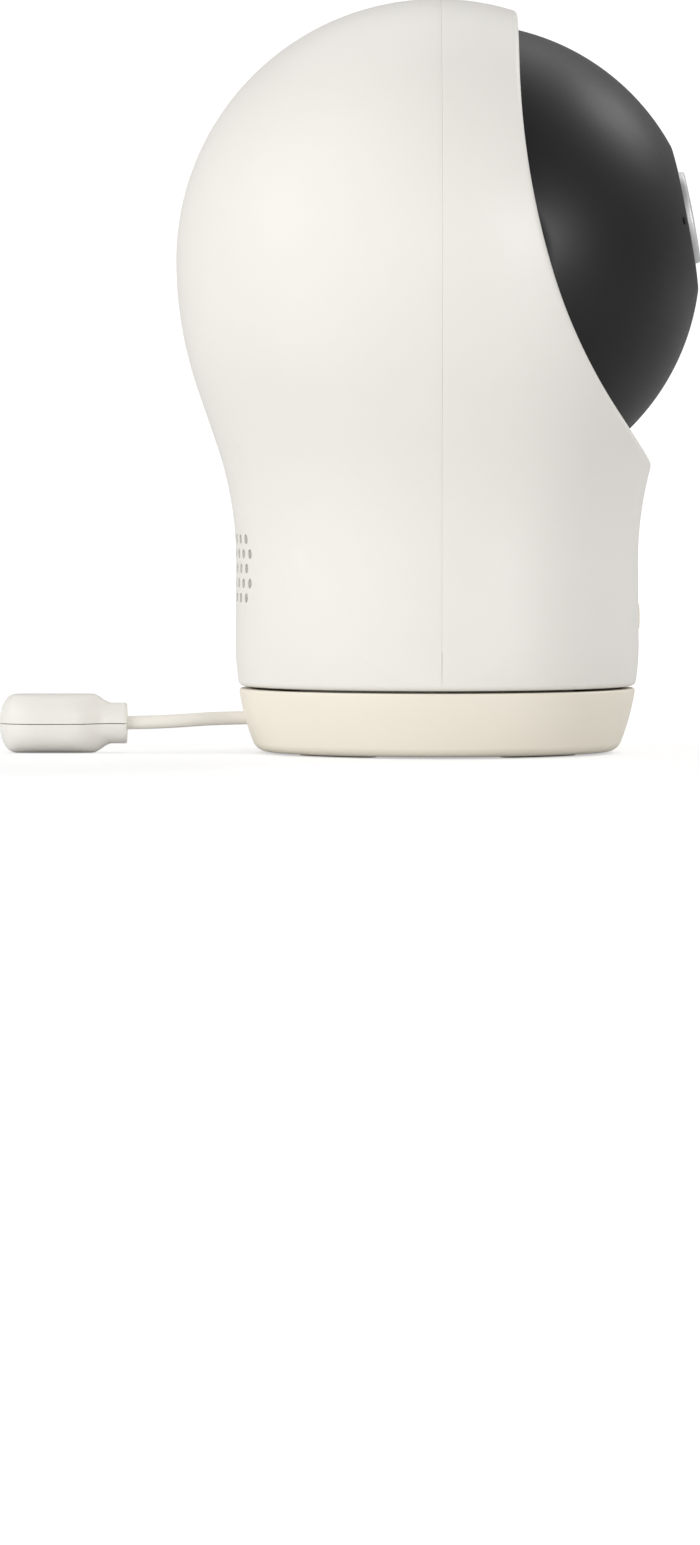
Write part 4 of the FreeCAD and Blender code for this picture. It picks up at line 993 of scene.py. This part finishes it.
ring_outline = drawn(
    (ring_side, ring_back), (ring_side, ring_front - 0.5),
    ((ring_side - 0.12, ring_front - 0.18), (ring_side - 0.45, ring_front)),
    (6.45, ring_front), ((6.3, ring_front - 0.03), (6.2, ring_front - 0.12)), (ring_lip, 37.65),
    (ring_seat, 37.62), (ring_seat, ring_back), pieces=6)
lens_ring = grown("lens_ring_turning", outline_object("lens_ring", ring_outline), turned_wall,
                  steps_round=192, finish=anodised_aluminium)
lens_ring = grown("lens_ring_turning", lens_ring, knurl_tree(), finish=anodised_aluminium, **knurl)
settle(to_lens(lens_ring), "eye", "lens_bezel", "lens_ring")


# ---- Lens ----
# Flat cover glass in front of a ground element, in a black tube whose steps stop stray light.
# Both glasses have an anti-reflection coating that glows faintly blue-violet at a slant.

# Coated crown glass, IOR 1.52 under its coating, polished.
coated_glass, tree, place = new_surface("coated_crown_glass")
haze = add_node(tree, "ShaderNodeTexNoise", None, {"Vector": place, "Scale": per_metre(5.0), "Detail": 1.0})
end_surface(tree, haze, "eef1f6", "e6ebf4", {
    "Roughness": 0.02, "IOR": 1.52, "Transmission Weight": 1.0, "Specular Tint": linear("b3bbe8")})
dress("lens_window", coated_glass)
dress("lens_element", coated_glass)
dress("lens_barrel", black_abs)


# ---- Studio ----
# A white table with a painted glow that only the camera sees. The glow is weaker near the object so that its
# real shadows show there. A white surround. Large soft boxes stand left and right of the lens, and weaker
# ones behind and above. All are out of the camera's sight.

table_reach = 20.0
light_aim = Vector((0, 0, 0.06))

table_surface, tree, place = new_surface("white_table_laminate")
fleck = add_node(tree, "ShaderNodeTexNoise", None, {"Vector": place, "Scale": per_metre(40.0), "Detail": 2.0})
in_sight = add_node(tree, "ShaderNodeLightPath").outputs["Is Camera Ray"]
away = add_node(tree, "ShaderNodeVectorMath", {"operation": "LENGTH"}, {0: place})
# Painted glow: the table's emission reaches camera rays only and lights nothing. It is 0.5 within 0.15 m of
# the middle and rises to 1.0 beyond 0.8 m.
painted_glow_by_distance = add_node(tree, "ShaderNodeMapRange", None,
                     {0: away.outputs["Value"], 1: 0.15, 2: 0.8, 3: 0.5, 4: 1.0})
camera_only_painted_glow = add_node(tree, "ShaderNodeMath", {"operation": "MULTIPLY"}, {0: in_sight, 1: painted_glow_by_distance})
end_surface(tree, fleck, "d0d0d0", "cccccc", {
    "Roughness": 0.6, "Emission Color": linear("ffffff"), "Emission Strength": camera_only_painted_glow})
table_mesh = bpy.data.meshes.new("table")
corners = [(x * table_reach, y * table_reach, 0) for x, y in ((-1, -1), (1, -1), (1, 1), (-1, 1))]
table_mesh.from_pydata(corners, [], [(0, 1, 2, 3)])
table_mesh.materials.append(table_surface)
table = new_object("table", table_mesh)


def soft_light(name, place, width, height, power, glossy=True):
    """Large soft box that faces the object, hidden from the camera, and from reflections too if told so."""
    data = bpy.data.lights.new(name, "AREA")
    data.shape = "RECTANGLE"
    data.size, data.size_y, data.energy = width, height, power
    light = new_object(name, data)
    light.location = place
    light.rotation_euler = (light_aim - Vector(place)).to_track_quat("-Z", "Y").to_euler()
    light.visible_camera = False
    light.visible_glossy = glossy


soft_light("left_box", (-1.7, 0.0, 0.5), 1.2, 0.8, 12.4, glossy=False)
soft_light("front_left_box", (-1.0, -1.5, 0.3), 1.2, 0.5, 14.6, glossy=False)
soft_light("front_right_box", (1.2, -1.5, 0.45), 0.6, 0.4, 11.5)
soft_light("back_right_box", (0.95, 0.72, 1.0), 0.5, 0.5, 4.0)
soft_light("right_box", (1.2, 0.9, 0.25), 0.5, 0.4, 4.8, glossy=False)
soft_light("top_box", (0.0, 0.9, 1.3), 1.4, 0.9, 4.6)

world = bpy.data.worlds.new("studio")
bpy.context.scene.world = world
world.use_nodes = True
world.node_tree.nodes.clear()
seen = add_node(world.node_tree, "ShaderNodeLightPath").outputs["Is Camera Ray"]
strength = add_node(world.node_tree, "ShaderNodeMapRange", None, {0: seen, 3: 0.34, 4: 1.1})
sky = add_node(world.node_tree, "ShaderNodeBackground", None, {"Color": (1, 1, 1, 1), "Strength": strength})
add_node(world.node_tree, "ShaderNodeOutputWorld", None, {"Surface": sky})

bpy.context.scene.view_settings.view_transform = "Standard"
